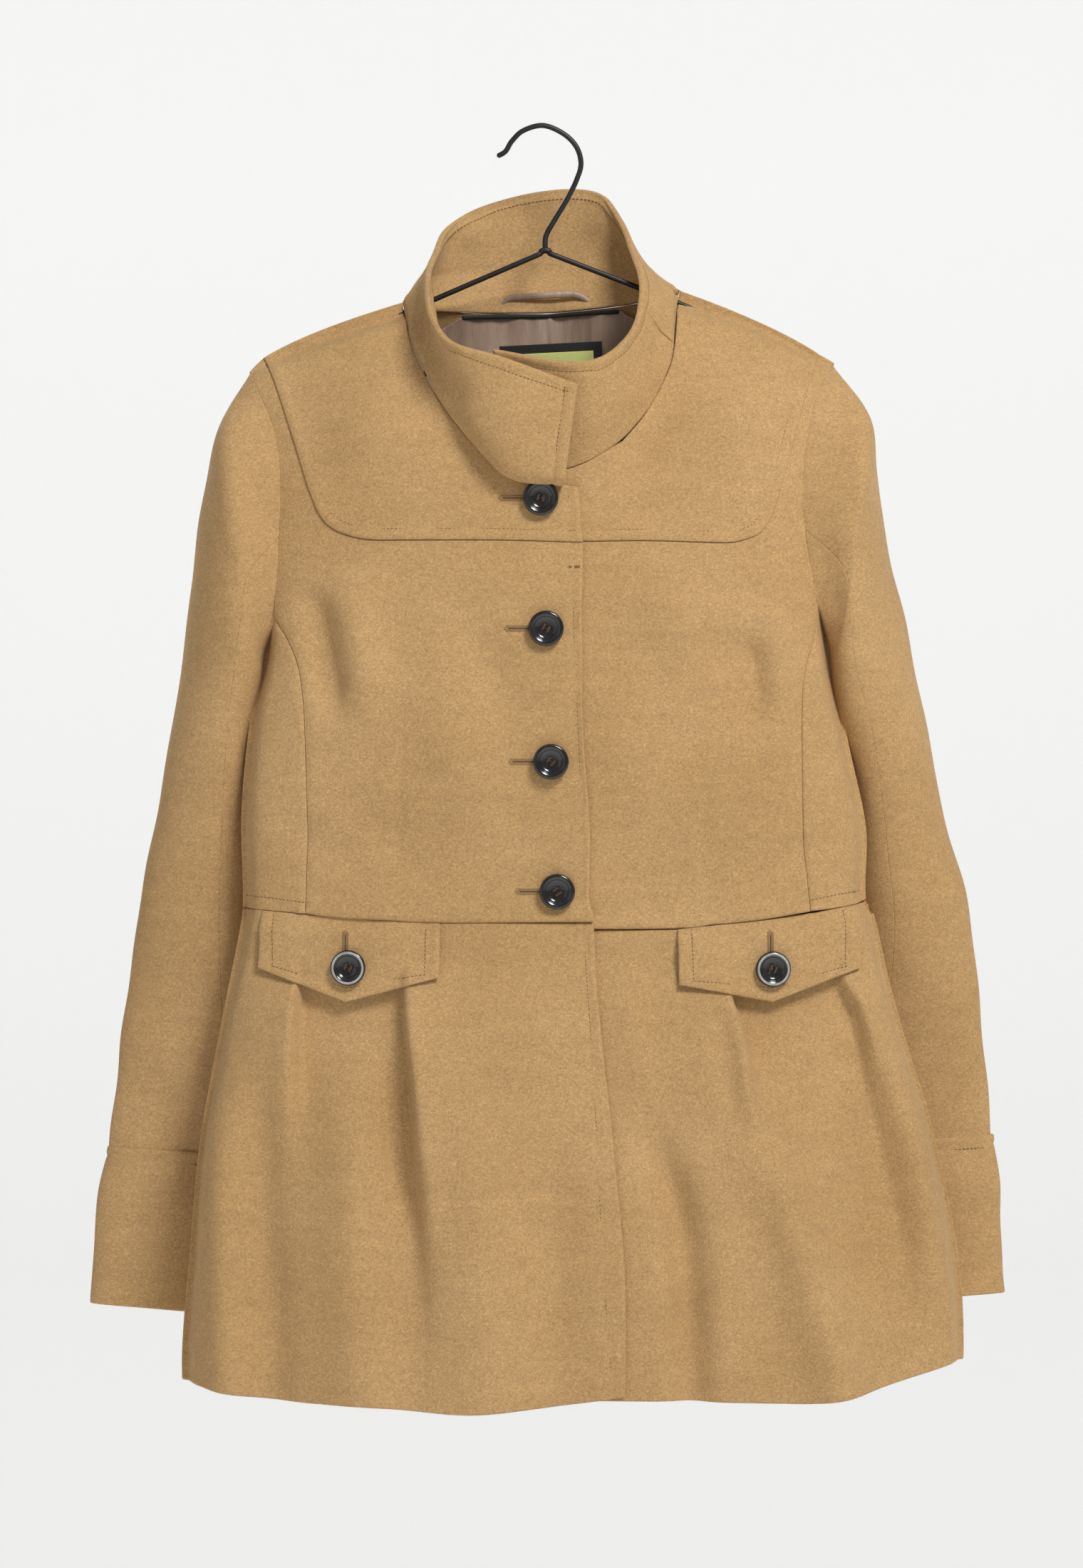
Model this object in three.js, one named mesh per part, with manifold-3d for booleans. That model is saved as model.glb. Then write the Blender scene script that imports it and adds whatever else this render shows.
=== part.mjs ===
// A women's button-front swing coat on a wire hanger.
// Millimetres, +Z up. -Y is the coat's front and +X is the wearer's left.
// The origin is the underside of the hook's top, where a nail or rail holds it.
import * as THREE from 'three';
import { mergeVertices } from 'three/addons/utils/BufferGeometryUtils.js';
import Module from 'manifold-3d';

const wasm = await Module();
wasm.setup();

// ---- driving dimensions ----
const CLOTH = 2.6; // shell cloth with its interlining
const COLLAR_CLOTH = 4; // the collar is cut double
const LINING_CLOTH = 0.8;
const LINING_DROP = 8.8; // from the shell's outer face to the lining's outer face
const SEAM_GAP = 0.9; // left open between two pieces sewn together
const UNDER_DROP = 4.4; // how far the under front lies behind the over front
const ROUNDNESS = 0.75; // exponent of the body's section, below 1 is boxier than an ellipse
const FOLD_TURN = 0.006; // turn left open each side of a side fold, between front and back
const SHOULDER_FALL = 110; // height over which the body rounds off into its shoulders
const SIDE_EASE = [0.16, 0.3]; // shares of the body's half width over which front and back close
const SHOULDER_EASE = [0.085, 0.17]; // shares of the shoulder fall over which front and back close
const SEAM_HALF = 4.2; // from the fold plane to the outer face where front and back meet
const WIRE_RADIUS = 1.75;
const BUTTON_RADIUS = 11.6;
const BUTTON_THICKNESS = 4.2;
const BUTTON_STANDOFF = 2.2; // from the cloth to the button's back
const HOLE_RADIUS = 1.1;
const HOLE_SPREAD = 2.5; // from the button's axis to each hole
const SLOT_HEIGHT = 4.6; // a buttonhole with its stitched edge
const FLAP_LIFT = 3.6; // outer face of a pocket flap above the skirt

// ---- colours ----
const finish = (color, roughness, metalness = 0) =>
  new THREE.MeshStandardMaterial({ color, roughness, metalness });
const CAMEL = finish(0xbe9968, 0.95);
const CAMEL_TURNED = finish(0xb48f60, 0.95);
const SATIN = finish(0xa58c78, 0.5);
const BLACK_CORD = finish(0x141414, 0.7);
const LABEL_FIELD = finish(0xb9c04a, 0.7);
const HORN = finish(0x111010, 0.2);
const THREAD = finish(0x4a3a2c, 0.8);
const WIRE = finish(0x101010, 0.55, 0.3);

const coat = new THREE.Group();

function add(name, geometry, material) {
  const mesh = new THREE.Mesh(geometry, material);
  mesh.name = name;
  coat.add(mesh);
  return mesh;
}

// ---- curves ----

// A smooth value against a rising key, through the given [key, value] pairs.
function profile(points) {
  const last = points.length - 1;
  const slope = (i) => {
    const before = points[Math.max(i - 1, 0)];
    const after = points[Math.min(i + 1, last)];
    return (after[1] - before[1]) / (after[0] - before[0]);
  };
  return (key) => {
    if (key <= points[0][0]) return points[0][1];
    if (key >= points[last][0]) return points[last][1];
    let i = 0;
    while (key > points[i + 1][0]) i += 1;
    const span = points[i + 1][0] - points[i][0];
    const t = (key - points[i][0]) / span;
    const ease = t * t * (3 - 2 * t);
    const bend = t * (1 - t) * (1 - t) * slope(i) - t * t * (1 - t) * slope(i + 1);
    return points[i][1] * (1 - ease) + points[i + 1][1] * ease + span * bend;
  };
}

// A seam line of [x, z] points, in stretches that meet at corners.
// Each stretch takes an equal share of t, so two rails pair up corner to corner.
function rail(...stretches) {
  const curves = stretches.map((points) => new THREE.SplineCurve(
    points.map(([x, z]) => new THREE.Vector2(x, z))));
  return (t) => {
    const place = Math.min(t, 1 - 1e-9) * curves.length;
    const index = Math.floor(place);
    return curves[index].getPoint(place - index);
  };
}

// ---- the body's outer form ----
// Every edge is a profile of x or y against height z.
const rightEdge = profile([
  [-845, -236], [-804, -237], [-741, -232], [-665, -225], [-580, -209.5], [-527, -199],
  [-510, -197], [-451, -198], [-389, -192.5], [-342, -183.5], [-300, -186], [-250, -192],
  [-160, -206], [-100, -212]]);
const leftEdge = profile([
  [-845, 274], [-802, 277.5], [-738, 273], [-654, 255], [-606, 240], [-560, 227],
  [-517, 217], [-508, 212], [-460, 212], [-402, 200], [-335, 188], [-300, 190], [-250, 195],
  [-160, 210], [-100, 214]]);
const foldY = profile([[-845, -14], [-450, -14], [-342, -8], [-235, -1], [-150, 0]]);
const frontDepth = profile([
  [-845, 54], [-740, 54], [-620, 48], [-515, 44], [-400, 54], [-330, 56], [-235, 56],
  [-150, 44], [-100, 36]]);
const backDepth = profile([[-845, 52], [-515, 48], [-330, 44], [-200, 38], [-100, 40]]);
const shoulderZ = profile([
  [-206, -171], [-196, -162], [-188, -153], [-155, -139], [-121, -126], [-93, -114],
  [0, -70], [90, -106], [138, -125.5], [187, -143], [199, -157], [206, -166]]);
const hemZ = profile([
  [-237, -822.6], [-178, -832], [-112, -835.6], [-54, -840], [3.5, -835.6], [52, -829]]);
const underHemZ = profile([[-10, -831], [75, -832], [181, -832.4], [245, -817.5], [276, -808.6]]);

const middleX = (z) => (rightEdge(z) + leftEdge(z)) / 2;
const halfWidth = (z) => (leftEdge(z) - rightEdge(z)) / 2;

// The turn angle round the body's section: 0 at the left fold, pi at the right fold.
function turnAt([x, z]) {
  const across = THREE.MathUtils.clamp((x - middleX(z)) / halfWidth(z), -1, 1);
  return Math.acos(across);
}

const eased = (value, [low, high]) => THREE.MathUtils.smoothstep(value, low, high);

// A point of the outer face. side is -1 at the front and 1 at the back. The depth falls away at the
// sides and shoulders, so that front and back meet there.
function bodyPoint(side, turn, z) {
  const x = middleX(z) + halfWidth(z) * Math.cos(turn);
  const below = THREE.MathUtils.clamp((shoulderZ(x) - z) / SHOULDER_FALL, 0, 1);
  const roundOff = Math.sqrt(1 - (1 - below) ** 2);
  const depth = side < 0 ? frontDepth(z) : backDepth(z);
  const across = Math.abs(Math.sin(turn));
  const swell = across ** ROUNDNESS * roundOff * eased(across, SIDE_EASE) * eased(below, SHOULDER_EASE);
  return new THREE.Vector3(x, foldY(z) + side * (depth * swell + SEAM_HALF * (1 - swell)), z);
}

// The outward direction of the outer face, from short steps round it and down it.
function bodyNormal(side, turn, z) {
  const around = bodyPoint(side, turn + 0.002, z).sub(bodyPoint(side, turn - 0.002, z));
  const down = bodyPoint(side, turn, z - 0.5).sub(bodyPoint(side, turn, z));
  return around.cross(down).normalize().multiplyScalar(-side);
}

const frontY = (x, z) => bodyPoint(-1, turnAt([x, z]), z).y;
const backY = (x, z) => bodyPoint(1, turnAt([x, z]), z).y;

// ---- turning grids of points into closed solids ----

// The direction square to a grid at one of its points.
function unit(grid, i, j) {
  const before = Math.max(j - 1, 0);
  const after = Math.min(j + 1, grid[0].length - 1);
  const across = grid[i][after].clone().sub(grid[i][before]);
  const above = grid[Math.max(i - 1, 0)][j];
  const down = grid[Math.min(i + 1, grid.length - 1)][j].clone().sub(above);
  return across.cross(down).normalize();
}

function closedGeometry(positions, faces) {
  const geometry = new THREE.BufferGeometry();
  let volume = 0;
  for (const [a, b, c] of faces) volume += positions[a].dot(positions[b].clone().cross(positions[c]));
  const turned = volume > 0 ? faces : faces.map(([a, b, c]) => [a, c, b]);
  geometry.setAttribute('position', new THREE.Float32BufferAttribute(
    positions.flatMap((p) => [p.x, p.y, p.z]), 3));
  geometry.setIndex(turned.flat());
  return geometry;
}

// A sheet solid between two grids of the same size. wrap closes it round into a tube.
function between(outer, inner, wrap = false) {
  const rows = outer.length;
  const columns = outer[0].length;
  const steps = wrap ? columns : columns - 1;
  const at = (layer, i, j) => layer * rows * columns + i * columns + (j % columns);
  const faces = [];
  const quad = (a, b, c, d) => faces.push([a, b, c], [a, c, d]);
  for (let i = 0; i < rows - 1; i += 1) {
    for (let j = 0; j < steps; j += 1) {
      quad(at(0, i, j), at(0, i, j + 1), at(0, i + 1, j + 1), at(0, i + 1, j));
      quad(at(1, i, j), at(1, i + 1, j), at(1, i + 1, j + 1), at(1, i, j + 1));
    }
  }
  for (let j = 0; j < steps; j += 1) {
    quad(at(0, 0, j), at(1, 0, j), at(1, 0, j + 1), at(0, 0, j + 1));
    quad(at(0, rows - 1, j), at(0, rows - 1, j + 1), at(1, rows - 1, j + 1), at(1, rows - 1, j));
  }
  for (let i = 0; i < rows - 1 && !wrap; i += 1) {
    const end = columns - 1;
    quad(at(0, i, 0), at(0, i + 1, 0), at(1, i + 1, 0), at(1, i, 0));
    quad(at(0, i, end), at(1, i, end), at(1, i + 1, end), at(0, i + 1, end));
  }
  return closedGeometry([...outer.flat(), ...inner.flat()], faces);
}

// A sheet of the given thickness behind a grid. lead is roughly outwards.
function sheet(grid, thickness, lead) {
  const middle = unit(grid, Math.floor(grid.length / 2), Math.floor(grid[0].length / 2));
  const sign = middle.dot(lead) > 0 ? 1 : -1;
  const inner = grid.map((row, i) => row.map((point, j) => point.clone()
    .addScaledVector(unit(grid, i, j), -sign * thickness)));
  return between(grid, inner);
}

// A place [turn, z] in the patch between two rails. ends gives the lines that close the patch at the
// rails' start and finish, where those aren't straight.
function patchPlace(first, second, ends, s, t) {
  const flat = (point) => new THREE.Vector2(turnAt(point.toArray()), point.y);
  const straight = (place) => flat(first(place)).lerp(flat(second(place)), s);
  const place = straight(t);
  if (ends) {
    place.addScaledVector(flat(ends[0](s)).sub(straight(0)), 1 - t);
    place.addScaledVector(flat(ends[1](s)).sub(straight(1)), t);
  }
  return place.toArray();
}

// Points of a patch, kept half a seam gap inside each edge. offset gives each point's height above
// the body's face.
function bodyGrid(side, first, second, { rows, columns, gap, ends }, offset) {
  const grid = [];
  const inside = (step, count, length) => {
    const margin = gap / 2 / length;
    return margin + (1 - 2 * margin) * (step / count);
  };
  const railLength = first(0).distanceTo(first(0.5)) + first(0.5).distanceTo(first(1));
  const crossLength = first(0.5).distanceTo(second(0.5));
  for (let i = 0; i <= rows; i += 1) {
    const row = [];
    for (let j = 0; j <= columns; j += 1) {
      const [turn, z] = patchPlace(first, second, ends,
        inside(i, rows, crossLength), inside(j, columns, railLength));
      const kept = THREE.MathUtils.clamp(turn, FOLD_TURN, Math.PI - FOLD_TURN);
      const point = bodyPoint(side, kept, z);
      row.push(point.clone().addScaledVector(bodyNormal(side, kept, z), offset(point)));
    }
    grid.push(row);
  }
  return grid;
}

const BACK = new THREE.Vector3(0, 1, 0);

// A panel of the body. lift raises it above the body's face, by a number or point by point.
function bodyPanel(side, first, second,
  { rows = 6, columns = 8, gap = SEAM_GAP, ends, thickness = CLOTH, lift = 0 } = {}) {
  const rise = typeof lift === 'function' ? lift : () => lift;
  const face = (depth) => bodyGrid(side, first, second, { rows, columns, gap, ends },
    (point) => rise(point) - depth);
  return between(face(0), face(thickness));
}

// ---- booleans ----

function solid(geometry) {
  const bare = geometry.clone();
  bare.deleteAttribute('normal');
  bare.deleteAttribute('uv');
  const merged = mergeVertices(bare, 1e-5);
  return new wasm.Manifold(new wasm.Mesh({
    numProp: 3,
    vertProperties: new Float32Array(merged.attributes.position.array),
    triVerts: new Uint32Array(merged.index.array),
  }));
}

function geometryOf(body) {
  const mesh = body.getMesh();
  const geometry = new THREE.BufferGeometry();
  geometry.setAttribute('position', new THREE.BufferAttribute(
    new Float32Array(mesh.vertProperties), 3));
  geometry.setIndex(Array.from(mesh.triVerts));
  return geometry;
}

// ---- seams of the shell, as [x, z] points seen from the front ----
const rightNeck = rail(
  [[-93, -115], [-86.5, -144], [-74, -171.6]],
  [[-74, -171.6], [-63, -189], [-48, -208]],
  [[-48, -208], [-20, -231], [23, -239]]);
const rightYokeSeam = [
  [[-184, -151.5], [-163.5, -207], [-148.5, -252]],
  [[-148.5, -252], [-136, -266], [-107.6, -273.3]],
  [[-107.6, -273.3], [-32.6, -273.4], [26, -275]]];
const rightArmhole = [[-193.5, -161], [-177, -199], [-172.8, -250], [-176, -324]];
const rightPrincess = [[-176, -324], [-160, -355.5], [-155, -408], [-154.5, -516]];
const rightWaist = [[-154.5, -516.6], [-68, -522.2], [33, -521.6]];
const leftNeck = rail(
  [[90, -107], [85.4, -150.5], [76.7, -173]],
  [[76.7, -173], [66, -191], [52, -208]],
  [[52, -208], [18, -227], [-28, -231]]);
const leftYokeSeam = [
  [[181.6, -149], [166.6, -196.5], [150, -255]],
  [[150, -255], [139, -270], [110, -274.8]],
  [[110, -274.8], [26, -274], [-28, -274]]];
const leftArmhole = [[192, -155], [175, -194], [170, -250], [179, -308]];
const leftPrincess = [[179, -308], [172, -356], [169.3, -451], [174, -515]];
const leftWaist = [[174, -515.2], [87, -526], [-22, -526.5]];

// ---- fronts ----

// The under front lies a step behind the over front, and rises to it towards the side.
const underLift = (point) => -UNDER_DROP * (1 - THREE.MathUtils.smoothstep(point.x, 60, 125));

function buttonSlot(buttonX, slotEndX, z) {
  const slot = new THREE.BoxGeometry(buttonX + 3 - slotEndX, 60, SLOT_HEIGHT);
  slot.translate((buttonX + 3 + slotEndX) / 2, frontY(buttonX, z), z);
  return solid(slot);
}

const FRONT_BUTTONS = [
  { x: -1.5, z: -246.2, slotEnd: -27.9 },
  { x: 1.9, z: -331.1, slotEnd: -24 },
  { x: 5.1, z: -417.6, slotEnd: -21.2 },
  { x: 9.2, z: -501.9, slotEnd: -16.9 }];

function withSlots(geometry, buttons) {
  let cut = solid(geometry);
  for (const button of buttons) cut = cut.subtract(buttonSlot(button.x, button.slotEnd, button.z));
  return geometryOf(cut);
}

const rightYoke = bodyPanel(-1, rightNeck, rail(...rightYokeSeam), { rows: 4, columns: 15 });
add('right_yoke', withSlots(rightYoke, FRONT_BUTTONS.slice(0, 1)), CAMEL);
const rightBodice = bodyPanel(-1, rail(...rightYokeSeam),
  rail(rightArmhole, rightPrincess, rightWaist), { columns: 15 });
add('right_bodice_front', withSlots(rightBodice, FRONT_BUTTONS.slice(1)), CAMEL);
add('left_yoke', bodyPanel(-1, leftNeck, rail(...leftYokeSeam),
  { rows: 4, columns: 15, lift: underLift }), CAMEL);
add('left_bodice_front', bodyPanel(-1, rail(...leftYokeSeam),
  rail(leftArmhole, leftPrincess, leftWaist), { columns: 15, lift: underLift }), CAMEL);

const rightSide = [[-183.6, -338], [-184.5, -349], [-192.5, -389], [-198, -451], [-197, -512]];
const leftSide = [[188.5, -326], [189.5, -341], [200, -402], [212, -460], [212.3, -507]];
const sidePanel = { rows: 3, columns: 5 };
add('right_side_front', bodyPanel(-1, rail(rightPrincess), rail(rightSide), sidePanel), CAMEL);
add('left_side_front', bodyPanel(-1, rail(leftPrincess), rail(leftSide), sidePanel), CAMEL);

// ---- backs ----
const CENTRE_BACK = { right: 1.4, left: 2.6 };
const BACK_WAIST = -520;

// A back bodice from the centre out: neck and shoulder above, waist below, armhole and side outside.
function backBodice(centreX, neck, shoulder, waist, armhole, sideSeam) {
  const centre = rail([[centreX, neck[0][1]], [centreX, BACK_WAIST]]);
  return bodyPanel(1, rail(neck, shoulder), rail(...waist),
    { rows: 10, columns: 12, ends: [centre, rail(armhole, sideSeam)] });
}

const RIGHT_UNDERARM = [-183, -342];
const LEFT_UNDERARM = [188, -337];
add('right_back_bodice', backBodice(CENTRE_BACK.right,
  [[CENTRE_BACK.right, -120], [-45, -119.5], [-88, -118]],
  [[-88, -118], [-125, -130], [-158, -142.5], [-193.5, -162.5]],
  [[[CENTRE_BACK.right, BACK_WAIST], [-94, BACK_WAIST]], [[-94, BACK_WAIST], [-197, -513]]],
  [[-193.5, -162.5], ...rightArmhole.slice(1), RIGHT_UNDERARM],
  [RIGHT_UNDERARM, [-192, -389], [-197.6, -451], [-197, -513]]), CAMEL);
add('left_back_bodice', backBodice(CENTRE_BACK.left,
  [[CENTRE_BACK.left, -120], [45, -116], [86, -110]],
  [[86, -110], [138, -128], [192, -156.5]],
  [[[CENTRE_BACK.left, BACK_WAIST], [100, BACK_WAIST]], [[100, BACK_WAIST], [212.2, -508]]],
  [[192, -156.5], ...leftArmhole.slice(1), LEFT_UNDERARM],
  [LEFT_UNDERARM, [200, -402], [212, -460], [212.2, -508]]), CAMEL);

// ---- skirt ----
const PLEAT_RIGHT = { top: -91, hem: -77 };
const PLEAT_LEFT = { top: 118, hem: 128 };

// The lower edge of a skirt panel from one x to another, along a hem profile.
function hem(fromX, toX, height, raise = 0) {
  const points = [];
  for (let step = 0; step <= 4; step += 1) {
    const x = THREE.MathUtils.lerp(fromX, toX, step / 4);
    points.push([x, height(x) + raise]);
  }
  return rail(points);
}

const skirt = { rows: 5, columns: 6 };
add('right_skirt_front', bodyPanel(-1, rail([[PLEAT_RIGHT.top + 1, -522], [32, -522.6]]),
  hem(PLEAT_RIGHT.hem + 1, 52, hemZ), skirt), CAMEL);
add('right_skirt_side', bodyPanel(-1, rail([[-197.2, -514], [PLEAT_RIGHT.top - 1, -522]]),
  hem(-237, PLEAT_RIGHT.hem - 1, hemZ), skirt), CAMEL);
add('left_skirt_front', bodyPanel(-1, rail([[-22, -527], [PLEAT_LEFT.top - 0.4, -525]]),
  hem(-5, PLEAT_LEFT.hem - 0.4, underHemZ), { ...skirt, lift: underLift }), CAMEL);
add('left_skirt_side', bodyPanel(-1, rail([[PLEAT_LEFT.top, -524.6], [212.5, -509.2]]),
  hem(PLEAT_LEFT.hem, 276, underHemZ), { ...skirt, lift: underLift }), CAMEL);
const BACK_HEM_RAISE = 4;
const backSkirt = { rows: 5, columns: 10 };
const belowWaist = BACK_WAIST - 1;
add('right_skirt_back', bodyPanel(1,
  rail([[-197, -514], [-100, belowWaist]], [[-100, belowWaist], [CENTRE_BACK.right, belowWaist]]),
  hem(-236.5, CENTRE_BACK.right, hemZ, BACK_HEM_RAISE), backSkirt), CAMEL);
add('left_skirt_back', bodyPanel(1,
  rail([[CENTRE_BACK.left, belowWaist], [100, belowWaist]], [[100, belowWaist], [212.2, -509]]),
  hem(CENTRE_BACK.left + 2, 276, underHemZ, BACK_HEM_RAISE), backSkirt), CAMEL);

// ---- sleeves ----
// Each ring: outer point x, z, inner point x, z, centre y and half depth, from the shoulder down.
const RIGHT_RINGS = [
  [-210, -189, -192, -349, -4, 40], [-222, -232, -196, -370, -2, 42],
  [-229.5, -277, -198, -394, 2, 40], [-236, -335, -198, -424, 8, 36],
  [-245, -392, -197, -457, 14, 32], [-255, -448, -193, -496, 20, 28],
  [-265, -500, -187, -535, 25, 24], [-274.6, -563, -180, -585, 31, 19],
  [-284, -634, -172, -645, 36, 15], [-288.4, -676, -168, -682, 38, 13]];
const LEFT_RINGS = [
  [213, -188, 196, -345, -4, 40], [219, -225, 202, -370, -2, 42],
  [228, -277, 207, -397, 2, 40], [241, -332, 211, -428, 8, 36],
  [253, -390, 215, -460, 14, 32], [265, -450, 213, -497, 20, 28],
  [280, -505, 207, -537, 25, 24], [288, -563, 198, -583, 31, 19],
  [294.5, -622, 188, -634, 36, 15], [297.4, -668, 178, -675, 38, 13]];
const RIGHT_CUFF_END = [-300.7, -777, -170, -790, 39, 13];
const LEFT_CUFF_END = [307.5, -770, 178, -778, 39, 13];

// A point of a sleeve ring. turn 0 is outermost, pi/2 the front, pi the inner edge.
function ringPoint([outerX, outerZ, innerX, innerZ, y, depth], turn, shrink = 0) {
  const outer = new THREE.Vector3(outerX, y, outerZ);
  const inner = new THREE.Vector3(innerX, y, innerZ);
  const half = outer.clone().sub(inner).divideScalar(2);
  const reach = half.length();
  half.multiplyScalar((reach - shrink) / reach);
  return outer.add(inner).divideScalar(2)
    .addScaledVector(half, Math.cos(turn))
    .add(new THREE.Vector3(0, -(depth - shrink) * Math.sin(turn), 0));
}

// A point of the armhole's loop on the body, set out from it by the seam gap.
function armholePoint(armhole, outward, turn, shrink = 0) {
  const t = turn <= Math.PI ? turn / Math.PI : 2 - turn / Math.PI;
  const { x, y: z } = armhole(t);
  const y = turn <= Math.PI ? frontY(x, z) : backY(x, z);
  const point = new THREE.Vector3(x + outward * (1.3 + SEAM_GAP), y, z);
  const centre = new THREE.Vector3(x, 0, -250);
  const inwards = centre.sub(point).normalize();
  return point.addScaledVector(inwards, shrink);
}

const ARMHOLE_RIGHT = rail([[-196, -163.5], [-177.5, -199], [-173.3, -250], [-176, -318], [-184, -344]]);
const ARMHOLE_LEFT = rail([[195, -157.5], [175.5, -194], [170.5, -250], [179, -308], [188.5, -338]]);

function sleeveGrid(armhole, outward, rings, fromTurn, toTurn, columns, shrink) {
  const turns = Array.from({ length: columns + 1 },
    (_, j) => fromTurn + (toTurn - fromTurn) * (j / columns));
  const top = turns.map((turn) => armholePoint(armhole, outward,
    THREE.MathUtils.euclideanModulo(turn, 2 * Math.PI), shrink));
  return [top, ...rings.map((ring) => turns.map((turn) => ringPoint(ring, turn, shrink)))];
}

// The upper piece covers the outside of the arm, the under piece the inside.
const SLEEVE_SEAM = 1.9; // turn of the front seam; the back seam mirrors it
const SEAM_TURN_GAP = 0.012;
const WRAP_COLUMNS = 14;
const SLEEVE_LINING_DROP = 6;

function tubeGrid(rings, shrink) {
  return rings.map((ring) => Array.from({ length: WRAP_COLUMNS },
    (_, j) => ringPoint(ring, (2 * Math.PI * j) / WRAP_COLUMNS, shrink)));
}

function addSleeve(side, armhole, outward, rings, cuffEnd) {
  const piece = (from, to, columns) => between(
    sleeveGrid(armhole, outward, rings, from, to, columns, 0),
    sleeveGrid(armhole, outward, rings, from, to, columns, CLOTH));
  const from = -SLEEVE_SEAM + SEAM_TURN_GAP;
  add(`${side}_sleeve_upper`, piece(from, SLEEVE_SEAM - SEAM_TURN_GAP, 9), CAMEL);
  add(`${side}_sleeve_under`,
    piece(SLEEVE_SEAM + SEAM_TURN_GAP, 2 * Math.PI - SLEEVE_SEAM - SEAM_TURN_GAP, 6), CAMEL);
  const last = rings[rings.length - 1];
  const drop = ([ox, oz, ix, iz, y, depth], gap, swell) =>
    [ox + outward * swell, oz - gap, ix - outward * swell, iz - gap, y, depth + swell];
  const cuffRings = [drop(last, 1, 1.2), drop(last, 34, 2.4), cuffEnd];
  cuffRings[1][0] = (last[0] + 2 * cuffEnd[0]) / 3;
  add(`${side}_cuff`, between(tubeGrid(cuffRings, 0), tubeGrid(cuffRings, CLOTH + 0.6), true), CAMEL);
  const liningRings = rings.slice(2);
  add(`${side}_sleeve_lining`, between(tubeGrid(liningRings, SLEEVE_LINING_DROP),
    tubeGrid(liningRings, SLEEVE_LINING_DROP + LINING_CLOTH), true), SATIN);
}

addSleeve('right', ARMHOLE_RIGHT, -1, RIGHT_RINGS, RIGHT_CUFF_END);
addSleeve('left', ARMHOLE_LEFT, 1, LEFT_RINGS, LEFT_CUFF_END);

// ---- collar ----
// Stations round the neck from the over end, by the right side and the back, to the under end.
// Each has the neck seam, the fullest point of the stand, and the top edge, as [x, y, z].
const COLLAR_STATIONS = [
  [[14, -60, -234], [15, -75, -228], [22.6, -76, -173]],
  [[-28, -58, -224], [-26, -73, -221], [-25, -81, -156.5]],
  [[-62, -46, -187], [-54, -61, -184], [-63, -73, -143.5]],
  [[-85, -23, -143], [-72, -38, -136], [-77, -48, -114]],
  [[-91, 4, -111], [-80, -4, -100], [-73, -8, -84]],
  [[-60, 34, -113], [-60, 31, -88], [-57, 32, -56]],
  [[0, 41, -116], [-2, 45, -78], [-4, 47, -38]],
  [[55, 34, -109], [48, 38, -78], [42, 38, -41]],
  [[85, 7, -100], [72, 6, -94], [58, 0, -78]],
  [[83, -22, -136], [76, -30, -126], [65, -38, -111]],
  [[71, -40, -179], [64, -50, -165], [55, -60, -142]],
  [[38, -53, -213], [32, -62, -194], [25, -71, -158.5]],
  [[-24, -54, -224], [-24, -61, -196], [-33, -66, -150]]];
const COLLAR_SPLIT_RIGHT = 3.2; // station where the over end may fold back
const COLLAR_SPLIT_LEFT = 9.2; // station of the under end's seam with the back stand
const COLLAR_FOLD_GAP = 0.07; // in stations, room for the over end to turn

function collarGrid(fromStation, toStation, columns) {
  const lines = [0, 1, 2].map((row) => new THREE.CatmullRomCurve3(
    COLLAR_STATIONS.map((station) => new THREE.Vector3(...station[row]))));
  const grid = [];
  for (const height of [0.02, 0.5, 1, 1.5, 2]) {
    const row = [];
    for (let j = 0; j <= columns; j += 1) {
      const t = THREE.MathUtils.lerp(fromStation, toStation, j / columns)
        / (COLLAR_STATIONS.length - 1);
      const [seam, full, top] = lines.map((line) => line.getPoint(t));
      const profileLine = new THREE.CatmullRomCurve3([seam, full, top]);
      row.push(profileLine.getPoint(height / 2));
    }
    grid.push(row);
  }
  return grid;
}

add('collar_right_end', sheet(collarGrid(0, COLLAR_SPLIT_RIGHT - COLLAR_FOLD_GAP, 8),
  COLLAR_CLOTH, new THREE.Vector3(-1, -1, 0)), CAMEL_TURNED);
add('collar_back', sheet(collarGrid(COLLAR_SPLIT_RIGHT, COLLAR_SPLIT_LEFT, 16),
  COLLAR_CLOTH, BACK), CAMEL_TURNED);
add('collar_left_end', sheet(collarGrid(COLLAR_SPLIT_LEFT + 0.04, 12, 8),
  COLLAR_CLOTH, new THREE.Vector3(1, -1, 0)), CAMEL_TURNED);

// ---- pocket flaps ----
// Each flap is sewn under the waist seam and comes to a point.
const RIGHT_FLAP = {
  top: [[-184, -515.5], [-126, -520.5], [-67, -524]],
  point: [[-184.6, -552.3], [-128, -574.2], [-67.3, -558.2]],
  button: { x: -126.5, z: -551.5 } };
const LEFT_FLAP = {
  top: [[204, -512.5], [149, -521], [87.4, -528]],
  point: [[205.4, -552.3], [149, -574.2], [88.2, -563]],
  button: { x: 149.3, z: -552.3 } };

function flapGeometry(flap) {
  const straight = (points) => rail(points.slice(0, 2), points.slice(1));
  return bodyPanel(-1, straight(flap.top), straight(flap.point),
    { rows: 4, columns: 8, lift: FLAP_LIFT, thickness: CLOTH });
}
add('right_pocket_flap', flapGeometry(RIGHT_FLAP), CAMEL);
add('left_pocket_flap', flapGeometry(LEFT_FLAP), CAMEL);

// ---- buttons ----
function cylinderAlongY(radius, fromY, toY, sides) {
  const cylinder = new THREE.CylinderGeometry(radius, radius, Math.abs(toY - fromY), sides);
  return cylinder.translate(0, (fromY + toY) / 2, 0);
}

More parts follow.
